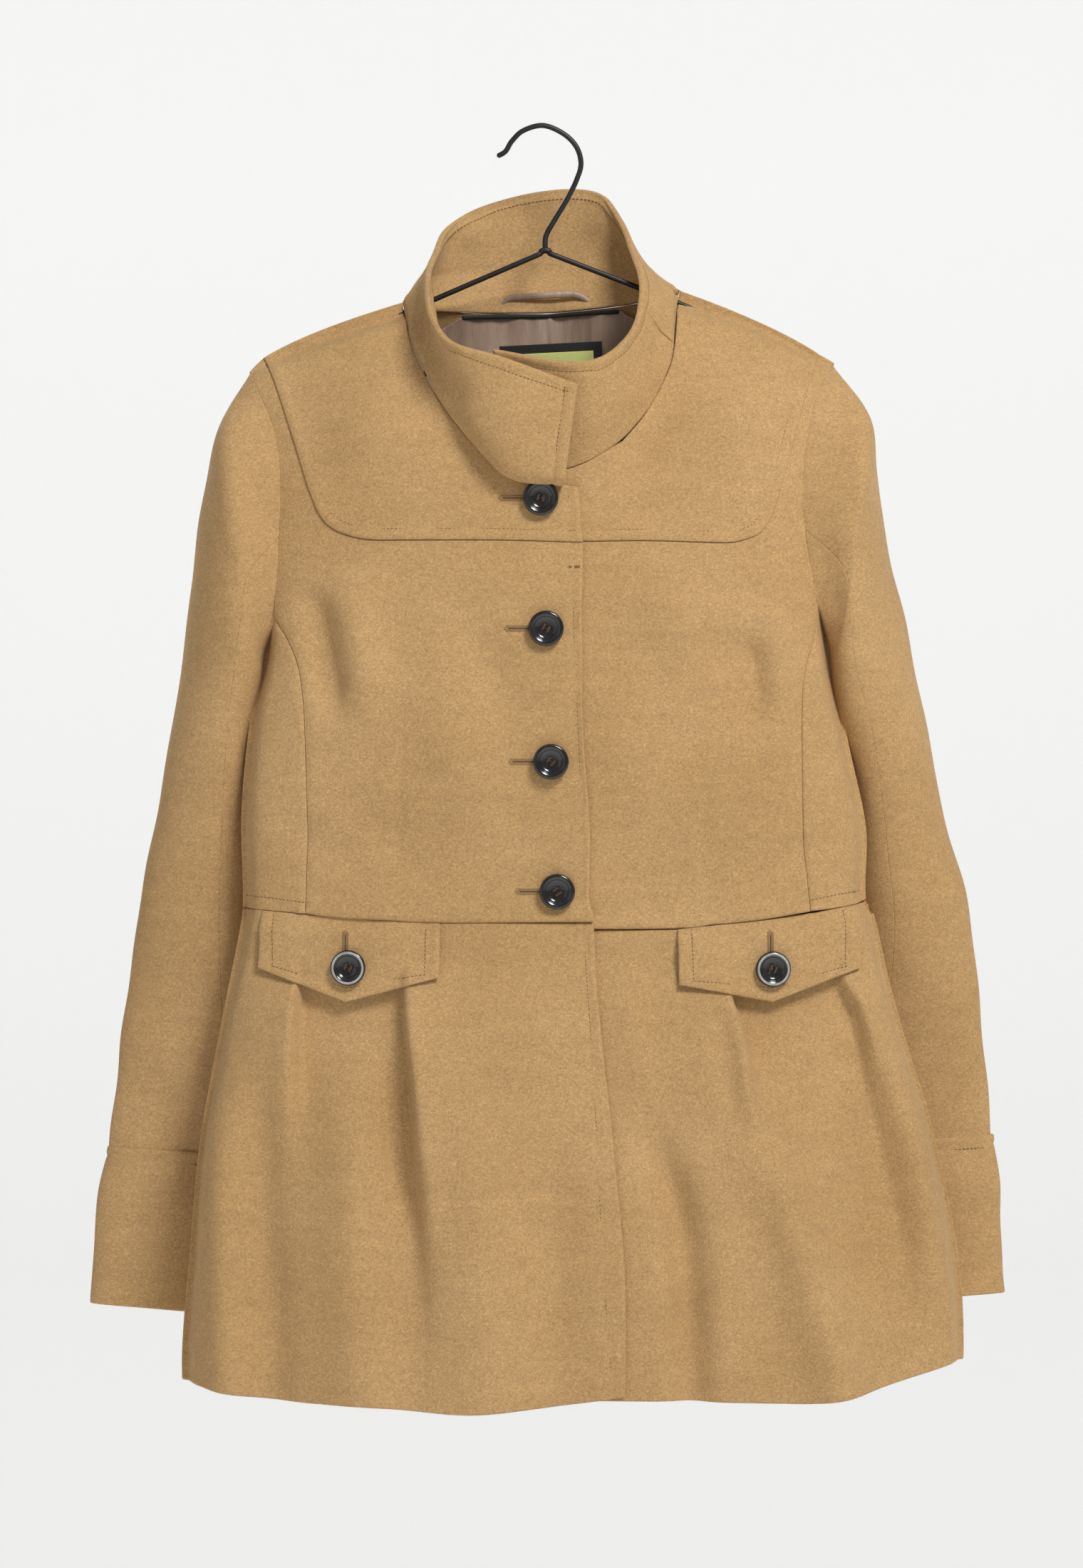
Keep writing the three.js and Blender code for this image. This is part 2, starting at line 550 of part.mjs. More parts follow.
// A four-hole button with a raised rim and a dished face, its face towards -Y and its back at y 0.
function buttonSolid() {
  const r = BUTTON_RADIUS;
  const t = BUTTON_THICKNESS;
  const outline = [
    [0, -t * 0.42], [r * 0.45, -t * 0.5], [r * 0.7, -t * 0.86], [r * 0.86, -t],
    [r * 0.97, -t * 0.8], [r, -t * 0.4], [r * 0.72, 0], [0, 0]];
  const lathe = new THREE.LatheGeometry(
    outline.map(([radius, height]) => new THREE.Vector2(radius, height)), 20);
  let button = solid(lathe);
  for (const [dx, dz] of [[1, 1], [1, -1], [-1, 1], [-1, -1]]) {
    const hole = cylinderAlongY(HOLE_RADIUS, 2, -t - 2, 6);
    hole.translate(dx * HOLE_SPREAD * Math.SQRT1_2, 0, dz * HOLE_SPREAD * Math.SQRT1_2);
    button = button.subtract(solid(hole));
  }
  return button;
}

// The sewing thread: a shank behind the button, a leg through each hole and two bars on the face.
function threadSolid(shankLength) {
  const face = -BUTTON_THICKNESS * 0.46 - 0.35;
  let thread = solid(cylinderAlongY(2, 0.3 + shankLength, 0.3, 8));
  const reach = HOLE_SPREAD * Math.SQRT1_2;
  for (const dx of [-1, 1]) {
    for (const dz of [-1, 1]) {
      const leg = cylinderAlongY(0.6, 0.8, face - 0.5, 5);
      thread = thread.add(solid(leg.translate(dx * reach, 0, dz * reach)));
    }
    const bar = new THREE.BoxGeometry(1, 0.8, 2 * reach + 1).translate(dx * reach, face - 0.3, 0);
    thread = thread.add(solid(bar));
  }
  return thread;
}

const buttonForm = geometryOf(buttonSolid());

function addButton(name, { x, z }, backPlaneY, shankLength, lean) {
  const place = (mesh) => {
    mesh.rotation.z = lean;
    mesh.position.set(x, backPlaneY, z);
  };
  place(add(name, buttonForm.clone(), HORN));
  place(add(`${name}_thread`, geometryOf(threadSolid(shankLength)), THREAD));
}

FRONT_BUTTONS.forEach((button, index) => {
  const backPlane = frontY(button.x, button.z) - BUTTON_STANDOFF;
  addButton(`front_button_${index + 1}`, button, backPlane,
    BUTTON_STANDOFF + UNDER_DROP - 0.9, 0);
});

// The lean of the cloth at a point, as a turn about Z.
const leanAt = ({ x, z }) => Math.atan2(frontY(x + 10, z) - frontY(x - 10, z), 20);

for (const [side, flap] of [['right', RIGHT_FLAP], ['left', LEFT_FLAP]]) {
  const { x, z } = flap.button;
  const backPlane = frontY(x, z) - FLAP_LIFT - BUTTON_STANDOFF;
  addButton(`${side}_flap_button`, flap.button, backPlane,
    BUTTON_STANDOFF - 1.1, leanAt(flap.button));
}

// ---- linings ----
const liningCut = { thickness: LINING_CLOTH, lift: -LINING_DROP, rows: 4, columns: 8 };
const underLining = { ...liningCut, lift: -LINING_DROP - UNDER_DROP };
add('back_lining', bodyPanel(1, rail(
  [[-160, -210], [-84, -140], [-55, -122.5]], [[-55, -122.5], [0, -122.5], [52, -119]],
  [[52, -119], [84, -136], [158, -200]]),
rail([[-192, -514], [-197, -660], [-205, -806]], [[-205, -806], [20, -816], [230, -800]],
  [[230, -800], [205, -650], [180, -495]]), { ...liningCut, rows: 8, columns: 12 }), SATIN);
add('right_front_lining', bodyPanel(-1,
  rail([[-101, -140], [-60, -215]], [[-60, -215], [-60, -470]], [[-122, -500], [-114, -800]]),
  rail([[-165, -175], [-168, -250]], [[-168, -250], [-168, -335], [-178, -490]],
    [[-182, -520], [-212, -802]]), { ...liningCut, columns: 12 }), SATIN);
add('left_front_lining', bodyPanel(-1,
  rail([[98, -134], [62, -215]], [[62, -215], [76, -800]]),
  rail([[163, -168], [168, -330]], [[168, -330], [190, -500], [240, -795]]), underLining), SATIN);

// ---- neck trims ----
function rod(points, radius, sides, steps) {
  const path = new THREE.CatmullRomCurve3(points.map((point) => new THREE.Vector3(...point)));
  const section = new THREE.Shape();
  for (let side = 0; side < sides; side += 1) {
    const turn = (2 * Math.PI * side) / sides;
    const corner = [radius * Math.cos(turn), radius * Math.sin(turn)];
    if (side === 0) section.moveTo(...corner);
    else section.lineTo(...corner);
  }
  section.closePath();
  return new THREE.ExtrudeGeometry(section, { steps, bevelEnabled: false, extrudePath: path });
}

const TRIM_Y = 31; // inside the collar's back
add('neck_piping', rod([[-62, 25, -116], [-31, TRIM_Y + 1, -118.5], [5.6, TRIM_Y + 2, -117.5],
  [52, 26, -112]], 1.1, 6, 12), BLACK_CORD);

function flatPiece(outline, thickness) {
  const shape = new THREE.Shape(outline.map(([x, z]) => new THREE.Vector2(x, z)));
  const plate = new THREE.ExtrudeGeometry(shape, { depth: thickness, bevelEnabled: false });
  return plate.rotateX(Math.PI / 2);
}

const loopOutline = [[-30, -116], [-23, -107], [20, -104.5], [33, -111.5], [28, -112], [19, -109.5],
  [-21, -112], [-25, -116.5]];
add('hang_loop', flatPiece(loopOutline, 1.2).translate(0, TRIM_Y - 1, 0), SATIN);

const LABEL = { width: 68, height: 40, top: -140.5, middle: 4, tilt: 0.05 };
const label = new THREE.BoxGeometry(LABEL.width, 0.8, LABEL.height);
label.translate(0, 0, -LABEL.height / 2);
const labelMesh = add('back_label', label, LABEL_FIELD);
labelMesh.rotation.y = -LABEL.tilt;
labelMesh.position.set(LABEL.middle, backY(0, LABEL.top) - LINING_DROP - 6, LABEL.top);

// ---- hanger ----
const HOOK = [
  [-30.4, 0, -18.7], [-24.8, 0, -15.3], [-20.5, 0, -8.5], [-13, 0, -1.6], [0, 0, WIRE_RADIUS],
  [13.2, 0, -3.5], [21.9, 0, -12.2], [25, 0, -23.4], [21.9, 0, -34.6], [15.7, 0, -47.1],
  [8.2, 0, -59.5], [2, 0, -70.8], [1.4, 0, -78.6]];
add('hanger_hook', rod(HOOK, WIRE_RADIUS, 8, 36), WIRE);
const NECK_JOINT = { x: 1.4, z: -81.4 };
const ARM_END = { right: { x: -180, slope: 0.431 }, left: { x: 180, slope: 0.385 } };
const armEndZ = ({ x, slope }) => NECK_JOINT.z - Math.abs(x - NECK_JOINT.x) * slope;
for (const side of ['right', 'left']) {
  const end = ARM_END[side];
  const start = NECK_JOINT.x + Math.sign(end.x) * 2.1;
  const startZ = NECK_JOINT.z - Math.abs(start - NECK_JOINT.x) * end.slope;
  add(`hanger_${side}_arm`, rod([[start, 0, startZ], [end.x, 0, armEndZ(end)]],
    WIRE_RADIUS, 8, 2), WIRE);
}
const BAR_DROP = 5;
add('hanger_bar', rod([
  [ARM_END.right.x - 2, 0, armEndZ(ARM_END.right) - BAR_DROP],
  [ARM_END.left.x + 2, 0, armEndZ(ARM_END.left) - BAR_DROP]], WIRE_RADIUS, 8, 2), WIRE);

export default coat;
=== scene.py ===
"""A women's button-front swing coat on a wire hanger, dressed over its CAD frame.

Lengths are millimetres until they go into a mesh. +Z is up, -Y is the coat's front, +X the wearer's left.
"""
import math
import random

import bpy
import numpy as np
from mathutils import Matrix, Vector


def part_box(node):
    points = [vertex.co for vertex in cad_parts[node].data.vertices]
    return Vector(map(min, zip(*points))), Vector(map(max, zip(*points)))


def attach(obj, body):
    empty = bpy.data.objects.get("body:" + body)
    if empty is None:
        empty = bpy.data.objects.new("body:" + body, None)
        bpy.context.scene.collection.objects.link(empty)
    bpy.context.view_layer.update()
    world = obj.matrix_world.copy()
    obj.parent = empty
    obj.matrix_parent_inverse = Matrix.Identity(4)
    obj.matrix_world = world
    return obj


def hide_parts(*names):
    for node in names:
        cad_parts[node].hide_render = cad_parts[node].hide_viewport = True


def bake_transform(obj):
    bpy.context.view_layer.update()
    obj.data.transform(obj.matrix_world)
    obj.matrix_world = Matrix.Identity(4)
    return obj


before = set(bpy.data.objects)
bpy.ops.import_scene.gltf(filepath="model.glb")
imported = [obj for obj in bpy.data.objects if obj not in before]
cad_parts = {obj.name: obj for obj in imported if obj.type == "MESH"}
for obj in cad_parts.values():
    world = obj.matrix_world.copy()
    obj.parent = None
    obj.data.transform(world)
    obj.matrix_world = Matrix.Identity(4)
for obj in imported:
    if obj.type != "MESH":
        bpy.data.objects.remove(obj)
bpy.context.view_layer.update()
MM = 0.001

# ---- driving sizes ----
# The cloth is thinner than the CAD's panels, and its seams close nearer together.
CLOTH = 2.2
LINING_CLOTH = 0.7
# How far inside the outer face the linings lie, and the left front under the lap of the right.
LINING_DROP = 7.5
UNDER_DROP = 3.6
ROUNDNESS = 0.75
SHOULDER_FALL = 110
FOLD_TURN = 0.0025
# Front and back come together over these shares of the body's width and of its shoulder fall.
SIDE_EASE = (0.16, 0.3)
SHOULDER_EASE = (0.035, 0.1)
SEAM_HALF = 2.1
# Folds die away towards the side seams between these shares of the width.
SETTLED = (0.14, 0.48)
STITCH_INSET = 7.3
STITCH_PITCH = 2.7
STITCH_SINK = 0.1
# Rounding of a panel's edges: in a seam, hanging free, and joined without a step.
SEAM, FREE, FLUSH = 1.0, CLOTH / 2, 0.0
WAIST_LAP = 1.6
FLAP_LIFT = 4.0
# The skirt's front swings out by this much, and its pleats stand higher than their table says.
SKIRT_SWING = 8.0
PLEAT_GAIN = 1.35
# No valley of the cloth goes deeper than these floors, eased over FLOOR_EASE.
FRONT_FLOOR = -5.2
SKIRT_FLOOR = -4.6
FLOOR_EASE = 0.7


# ---- curves ----
def profile(points):
    """A smooth value against a rising key, through (key, value) pairs."""
    keys = np.array([point[0] for point in points], float)
    values = np.array([point[1] for point in points], float)
    order = np.arange(len(keys))
    before = np.maximum(order - 1, 0)
    after = np.minimum(order + 1, len(keys) - 1)
    slopes = (values[after] - values[before]) / (keys[after] - keys[before])

    def at(key):
        key = np.clip(np.asarray(key, float), keys[0], keys[-1])
        i = np.clip(np.searchsorted(keys, key, side="right") - 1, 0, len(keys) - 2)
        span = keys[i + 1] - keys[i]
        t = (key - keys[i]) / span
        ease = t * t * (3 - 2 * t)
        bend = t * (1 - t) ** 2 * slopes[i] - t * t * (1 - t) * slopes[i + 1]
        return values[i] * (1 - ease) + values[i + 1] * ease + span * bend

    return at


def spline(points, t):
    """Catmull-Rom through points of any dimension, at t from 0 to 1 shared evenly between the points."""
    points = np.asarray(points, float)
    last = len(points) - 1
    place = np.clip(np.asarray(t, float), 0, 1) * last
    i = np.minimum(place.astype(int), last - 1)
    each = (slice(None),) + (None,) * (points.ndim - 1)
    w = (place - i)[each]
    start, end = points[i], points[i + 1]
    before = np.where((i > 0)[each], points[np.maximum(i - 1, 0)], 2 * start - end)
    after = np.where((i + 2 > last)[each], 2 * end - start, points[np.minimum(i + 2, last)])
    slope0, slope1 = (end - before) / 2, (after - start) / 2
    return ((2 * w**3 - 3 * w**2 + 1) * start + (w**3 - 2 * w**2 + w) * slope0
            + (3 * w**2 - 2 * w**3) * end + (w**3 - w**2) * slope1)


def run_along(points):
    """The distance of each point from the first, along the line through them."""
    return np.concatenate([[0], np.cumsum(np.linalg.norm(np.diff(points, axis=0), axis=1))])


def even(points, count=200):
    """The spline through points, as count + 1 points spaced evenly along it."""
    dense = spline(points, np.linspace(0, 1, 40 * len(points)))
    run = run_along(dense)
    places = np.linspace(0, run[-1], count + 1)
    return np.stack([np.interp(places, run, dense[:, k]) for k in range(dense.shape[1])], axis=1)


def rail(*stretches):
    """A seam line in stretches that meet at corners. Each stretch takes an equal share of t."""
    parts = [even(points) for points in stretches]

    def at(t):
        place = np.clip(np.asarray(t, float), 0, 1) * len(parts)
        index = np.minimum(place.astype(int), len(parts) - 1)
        out = np.empty((len(place), 2))
        for k, part in enumerate(parts):
            chosen = index == k
            along = (place[chosen] - k) * (len(part) - 1)
            for axis in range(2):
                out[chosen, axis] = np.interp(along, np.arange(len(part)), part[:, axis])
        return out

    at.lengths = [float(np.linalg.norm(np.diff(part, axis=0), axis=1).sum()) for part in parts]
    return at


def smoothstep(value, low, high):
    t = np.clip((value - low) / (high - low), 0, 1)
    return t * t * (3 - 2 * t)


def distance_to(path, x, z):
    """Distance from each point to a polyline, and how far along it the nearest place is, 0 to 1."""
    path = np.asarray(path, float)
    start, step = path[:-1], np.diff(path, axis=0)
    length2 = np.maximum((step**2).sum(axis=1), 1e-9)
    px, pz = np.ravel(x), np.ravel(z)
    best = np.full(px.shape, 1e9)
    along = np.zeros(px.shape)
    for k in range(len(step)):
        t = ((px - start[k, 0]) * step[k, 0] + (pz - start[k, 1]) * step[k, 1]) / length2[k]
        t = np.clip(t, 0, 1)
        gap = np.hypot(px - start[k, 0] - t * step[k, 0], pz - start[k, 1] - t * step[k, 1])
        nearer = gap < best
        best = np.where(nearer, gap, best)
        along = np.where(nearer, (k + t) / len(step), along)
    return best.reshape(np.shape(x)), along.reshape(np.shape(x))


# ---- the body's outer form: the CAD's curves, but for slightly lower shoulders ----
right_edge = profile([
    (-845, -236), (-804, -237), (-741, -232), (-665, -225), (-580, -209.5), (-527, -199),
    (-510, -197), (-451, -198), (-389, -192.5), (-342, -183.5), (-300, -186), (-250, -192),
    (-160, -206), (-100, -212)])
left_edge = profile([
    (-845, 274), (-802, 277.5), (-738, 273), (-654, 255), (-606, 240), (-560, 227),
    (-517, 217), (-508, 212), (-460, 212), (-402, 200), (-335, 188), (-300, 190), (-250, 195),
    (-160, 210), (-100, 214)])
fold_y = profile([(-845, -14), (-450, -14), (-342, -8), (-235, -1), (-150, 0)])
front_depth = profile([
    (-845, 54), (-740, 54), (-620, 48), (-515, 44), (-400, 54), (-330, 56), (-235, 56),
    (-150, 44), (-100, 36)])
back_depth = profile([(-845, 52), (-515, 48), (-330, 44), (-200, 38), (-100, 40)])
shoulder_z = profile([
    (-206, -171), (-196, -162), (-188, -154), (-155, -140.5), (-121, -127.5), (-88, -116.5),
    (0, -70), (86, -109), (138, -126.5), (181, -148), (192, -154.5), (206, -166)])
hem_z = profile([
    (-237, -822.6), (-178, -832), (-112, -835.6), (-54, -840), (3.5, -835.6), (52, -829)])
under_hem_z = profile([(-10, -831), (75, -832), (181, -832.4), (245, -817.5), (276, -808.6)])


def middle_and_half(z):
    """The x of the body's middle and its half width, at a height."""
    right, left = right_edge(z), left_edge(z)
    return (right + left) / 2, (left - right) / 2


def turn_at(x, z):
    """The angle round the body of a place: 0 at the left side, pi at the right."""
    middle, half = middle_and_half(z)
    return np.arccos(np.clip((x - middle) / half, -1, 1))


def body_point(side, turn, z):
    """Points of the smooth outer face. side is -1 at the front and 1 at the back."""
    middle, half = middle_and_half(z)
    x = middle + half * np.cos(turn)
    below = np.clip((shoulder_z(x) - z) / SHOULDER_FALL, 0, 1)
    depth = front_depth(z) if side < 0 else back_depth(z)
    across = np.abs(np.sin(turn))
    swell = across**ROUNDNESS * np.sqrt(1 - (1 - below) ** 2)
    swell = swell * smoothstep(across, *SIDE_EASE) * smoothstep(below, *SHOULDER_EASE)
    return np.stack([x, fold_y(z) + side * (depth * swell + SEAM_HALF * (1 - swell)), z], axis=-1)


# ---- seams, as (x, z) seen from the front ----
RIGHT_NECK = [
    [(-93, -115), (-86.5, -144), (-74, -171.6)],
    [(-74, -171.6), (-63, -189), (-48, -208)],
    [(-48, -208), (-20, -231), (23, -239)]]
RIGHT_YOKE_SEAM = [
    [(-184, -151.5), (-176, -169), (-163.5, -207), (-155, -235), (-148.5, -252)],
    [(-148.5, -252), (-143, -261), (-134, -267.5), (-120, -272), (-107.6, -273.3)],
    [(-107.6, -273.3), (-32.6, -273.4), (26, -275)]]
RIGHT_ARMHOLE = [(-193.5, -161), (-184.6, -179.5), (-177, -199), (-172.8, -226), (-172.5, -255),
                 (-173.8, -291), (-176, -324)]
RIGHT_PRINCESS = [(-176, -324), (-167, -338), (-160, -355.5), (-156.5, -379), (-155, -408),
                  (-154, -451), (-154.5, -516.6)]
RIGHT_WAIST = [(-154.5, -516.6), (-131, -519.4), (-99, -520.8), (-68, -522.2), (33, -521.6)]
RIGHT_SIDE = [(-183.6, -338), (-184.5, -349), (-192.5, -389), (-198, -451), (-197, -512)]
LEFT_NECK = [
    [(90, -107), (85.4, -150.5), (76.7, -173)],
    [(76.7, -173), (66, -191), (52, -208)],
    [(52, -208), (18, -226), (-28, -231)]]
LEFT_YOKE_SEAM = [
    [(181.6, -149), (174, -171), (166.6, -196.5), (158, -229), (150, -255)],
    [(150, -255), (146, -263), (139, -270), (124, -274.6), (110, -274.8)],
    [(110, -274.8), (68, -273.4), (26, -274), (-28, -274)]]
LEFT_ARMHOLE = [(192, -155), (181, -175), (175, -194), (171, -219), (170, -250), (173, -279), (179, -308)]
LEFT_PRINCESS = [(179, -308), (180, -328), (172, -356), (169, -379), (169.3, -451), (172, -488), (174, -515)]
LEFT_WAIST = [(174, -515.2), (139, -520.8), (110, -523.6), (87, -526), (-22, -526.5)]
LEFT_SIDE = [(188.5, -326), (189.5, -341), (200, -402), (212, -460), (212.3, -507)]
PLACKET = [(22, -231.6), (24.4, -250), (26.3, -275), (27, -320), (29.6, -386), (32, -443), (33, -500),
           (33, -519), (38, -591), (42, -662), (46, -742), (51.6, -813), (53.3, -828)]
RIGHT_DART = [(-92, -399), (-94, -488), (-97.7, -520)]
LEFT_DART = [(104.5, -406), (105.6, -451), (107, -488), (110, -523.6)]


def joined(stretches):
    return np.concatenate([even(points, 60) for points in stretches])


# ---- how the front's cloth lies away from the smooth form ----
# Each fold: points (x, z), half width, height (minus is a valley), and the share of its length that fades.
# A fold that ends below NEAR_HEM runs out through the hem instead of fading there.
NEAR_HEM = -800
END_FADE = 0.999
FRONT_FOLDS = [
    ([(-160, -298), (-148, -320), (-140, -359), (-131.6, -402)], 10, -9.0, 0.35),
    ([(-140, -292), (-124, -320), (-116, -360), (-114, -400)], 15, 7.8, 0.4),
    ([(-66, -282), (-46, -330), (-24, -380), (-8, -430)], 15, -4.2, 0.5),
    ([(-100, -330), (-72, -372), (-52, -420), (-44, -490)], 24, 5.8, 0.5),
    ([(-150, -420), (-120, -450), (-60, -500)], 14, -2.7, 0.5),
    ([(56, -285), (86, -322), (106, -360)], 22, 6.5, 0.5),
    ([(88, -350), (112, -346), (134, -358), (130, -412)], 13, -9.0, 0.45),
    ([(154, -300), (152, -345), (154, -400)], 13, 6.8, 0.4),
    ([(48, -380), (62, -430), (60, -490)], 20, 3.7, 0.5),
    ([(-66, -150), (-110, -190), (-122, -245)], 22, 4.1, 0.5),
    ([(80, -180), (118, -190), (138, -238)], 20, 4.4, 0.5),
    ([(46, -238), (70, -208), (90, -168)], 10, -4.5, 0.5),
    ([(-184, -440), (-150, -468), (-100, -490)], 12, -3.0, 0.5),
    ([(198, -450), (170, -476), (130, -500)], 12, -3.0, 0.5),
]
SKIRT_FOLDS = [
    ([(-205, -600), (-212, -690), (-205, -826)], 17, 11.0, 0.35),
    ([(-178, -590), (-182, -690), (-176, -830)], 15, -6.8, 0.4),
    ([(-128, -600), (-122, -700), (-118, -832)], 22, 8.5, 0.45),
    ([(-100, -580), (-97, -640), (-94, -720)], 9, -9.0, 0.4),
    ([(-50, -600), (-42, -700), (-38, -836)], 22, 7.6, 0.5),
    ([(2, -620), (6, -720), (12, -834)], 18, -5.4, 0.5),
    ([(64, -640), (82, -690), (92, -735), (96, -829)], 12, -13.5, 0.35),
    ([(108, -566), (116, -590), (126, -640), (142, -690)], 10, -7.5, 0.4),
    ([(118, -575), (134, -628), (152, -690), (178, -771), (192, -826)], 19, 15.3, 0.3),
    ([(196, -590), (216, -680), (232, -800)], 16, -10.5, 0.4),
    ([(216, -570), (244, -680), (262, -800)], 13, 10.2, 0.4),
    ([(52, -540), (58, -600), (66, -660)], 16, 4.4, 0.5),
]
# Each pleat: the fold's line, the side that stands proud, and against z its height and the width of its step.
# The cloth dies away over PROUD_REACH on the proud side and VALLEY_REACH on the other.
PROUD_SHARE, PROUD_REACH = 0.75, 42
VALLEY_SHARE, VALLEY_REACH = 0.65, 30
PLEATS = [
    (profile([(-830, -75), (-777, -74), (-733, -77), (-679, -81), (-627, -85), (-584, -90), (-520, -91)]),
     1, profile([(-840, 4), (-760, 8), (-680, 12), (-610, 13), (-580, 12), (-562, 7), (-548, 0)]),
     profile([(-840, 9), (-760, 4.5), (-680, 1.7), (-620, 1.0), (-575, 0.7)])),
    (profile([(-830, -166), (-584, -159), (-520, -158)]),
     -1, profile([(-760, 0), (-680, 4), (-620, 10), (-590, 13), (-575, 11), (-562, 6), (-548, 0)]),
     profile([(-760, 14), (-690, 7), (-620, 2.0), (-575, 0.8)])),
    (profile([(-830, 152), (-700, 141), (-620, 134), (-587, 129), (-570, 123), (-520, 121)]),
     -1, profile([(-800, 0), (-720, 4), (-660, 10), (-610, 15), (-585, 15), (-565, 8), (-550, 0)]),
     profile([(-800, 14), (-700, 7), (-640, 3.0), (-600, 1.4), (-575, 0.8)])),
    (profile([(-830, 240), (-640, 215), (-579, 203), (-561, 194), (-520, 192)]),
     1, profile([(-780, 0), (-700, 3), (-640, 7), (-600, 11), (-580, 12), (-562, 7), (-548, 0)]),
     profile([(-780, 14), (-640, 4), (-600, 1.6), (-570, 0.8)])),
]


def fold_relief(folds, x, z):
    total = np.zeros(np.shape(x))
    for points, width, height, fade in folds:
        gap, along = distance_to(even(points, 24), x, z)
        ends = smoothstep(along, 0, fade)
        if points[-1][1] >= NEAR_HEM:
            ends = ends * (1 - END_FADE * smoothstep(along, 1 - fade, 1))
        total += height * ends * np.exp(-((gap / width) ** 2))
    return total


def pleat_relief(x, z):
    total = np.zeros(np.shape(x))
    for line, proud_side, height, step_width in PLEATS:
        past = proud_side * (x - line(z))
        step = 1 / (1 + np.exp(-np.clip(past / step_width(z), -40, 40)))
        proud = step * np.exp(-np.maximum(past, 0) / PROUD_REACH)
        valley = (1 - step) * np.exp(-np.maximum(-past, 0) / VALLEY_REACH)
        total += height(z) * (PROUD_SHARE * proud - VALLEY_SHARE * valley)
    return total


DRIFT_WAVES = 7
DRIFT_CREST = 2.6


def drift(x, z, seed, size=95.0, height=0.7):
    """A slow unevenness, the same at each run."""
    chance = random.Random(seed)
    total = np.zeros(np.shape(x))
    for _ in range(DRIFT_WAVES):
        angle = chance.uniform(0, math.pi)
        wave = size * chance.uniform(0.6, 1.6)
        phase = chance.uniform(0, 2 * math.pi)
        total += np.sin(2 * math.pi * (x * math.cos(angle) + z * math.sin(angle)) / wave + phase)
    return total * height / DRIFT_CREST


def stitched(gap, inset=STITCH_INSET):
    """A topstitched edge: cloth puffs between the edge and the stitches, and sinks along them."""
    dip = -0.7 * np.exp(-(((gap - inset) / 1.2) ** 2))
    puff = 0.5 * np.exp(-(((gap - inset * 0.45) / 2.4) ** 2))
    return dip + puff


def groove(gap, depth, width):
    """A hollow that follows a line, at a distance gap from it."""
    return -depth * np.exp(-((gap / width) ** 2))


def no_deeper(relief, floor):
    """Relief held above a floor, so that no fold reaches the lining behind it."""
    return floor + FLOOR_EASE * np.logaddexp(0, (relief - floor) / FLOOR_EASE)


def settled(x, z):
    """Dies away at the side seams, where front and back are held together."""
    return smoothstep(np.sin(turn_at(x, z)), *SETTLED)


def front_relief(x, z):
    return no_deeper(fold_relief(FRONT_FOLDS, x, z) + drift(x, z, 3), FRONT_FLOOR) * settled(x, z)


def skirt_relief(x, z):
    free = smoothstep(-z, 525, 600)
    swing = SKIRT_SWING * smoothstep(-z, 552, 650) * (1 - smoothstep(np.abs(x - 10), 130, 225))
    folds = (fold_relief(SKIRT_FOLDS, x, z) + PLEAT_GAIN * pleat_relief(x, z)) * smoothstep(-z, 522, 545)
    return no_deeper(swing + folds + drift(x, z, 5) * (0.6 + 0.9 * free), SKIRT_FLOOR) * settled(x, z)


def back_relief(x, z):
    waves = 4.0 * np.sin((x + 20) / 38.0) * smoothstep(-z, 560, 800)
    return (waves + drift(x, z, 11, height=1.1)) * settled(x, z)


def lapped(path, height=1.1, reach=16.0):
    """The raised, topstitched edge of a piece that laps over its neighbour along path."""
    def relief(x, z):
        gap, _ = distance_to(path, x, z)
        return height * (1 - smoothstep(gap, 4, reach)) + stitched(gap)
    return relief


def at_each(relief, x, z):
    """The height of several reliefs together."""
    return sum(part(x, z) for part in relief)


def lift_of(relief, grid):
    return at_each(relief, grid[..., 0], grid[..., 2])


# ---- meshes ----
def link(name, vertices, faces, material):
    """A smooth-shaded mesh object from points in millimetres."""
    mesh = bpy.data.meshes.new(name)
    mesh.from_pydata((np.asarray(vertices, float) * MM).tolist(), [], [list(map(int, f)) for f in faces])
    mesh.validate()
    mesh.polygons.foreach_set("use_smooth", [True] * len(mesh.polygons))
    obj = bpy.data.objects.new(name, mesh)
    bpy.context.scene.collection.objects.link(obj)
    obj.data.materials.append(material)
    return obj


def normals_of(grid, wrap=False):
    """The unit normal at each point of a grid."""
    if wrap:
        across = np.roll(grid, -1, axis=1) - np.roll(grid, 1, axis=1)
    else:
        across = np.gradient(grid, axis=1)
    down = np.gradient(grid, axis=0)
    normal = np.cross(across, down)
    return normal / np.maximum(np.linalg.norm(normal, axis=-1, keepdims=True), 1e-9)


def facing(normals, lead):
    """Normals turned so that the middle one points the way lead does."""
    middle = normals[normals.shape[0] // 2, normals.shape[1] // 2]
    return -normals if np.dot(middle, lead) < 0 else normals


def runs(grid, axis):
    """Distance of each grid point from the first and the last edge along an axis."""
    steps = np.linalg.norm(np.diff(grid, axis=axis), axis=-1)
    start = np.cumsum(steps, axis=axis)
    pad = [(0, 0), (0, 0)]
    pad[axis] = (1, 0)
    start = np.pad(start, pad)
    total = np.take(start, [-1], axis=axis)
    return start, total - start


def rolled(gap, radius):
    """How far a rounded edge drops, at a distance gap from it."""
    near = np.clip(gap / radius, 0, 1)
    return radius * (1 - np.sqrt(1 - (1 - near) ** 2))


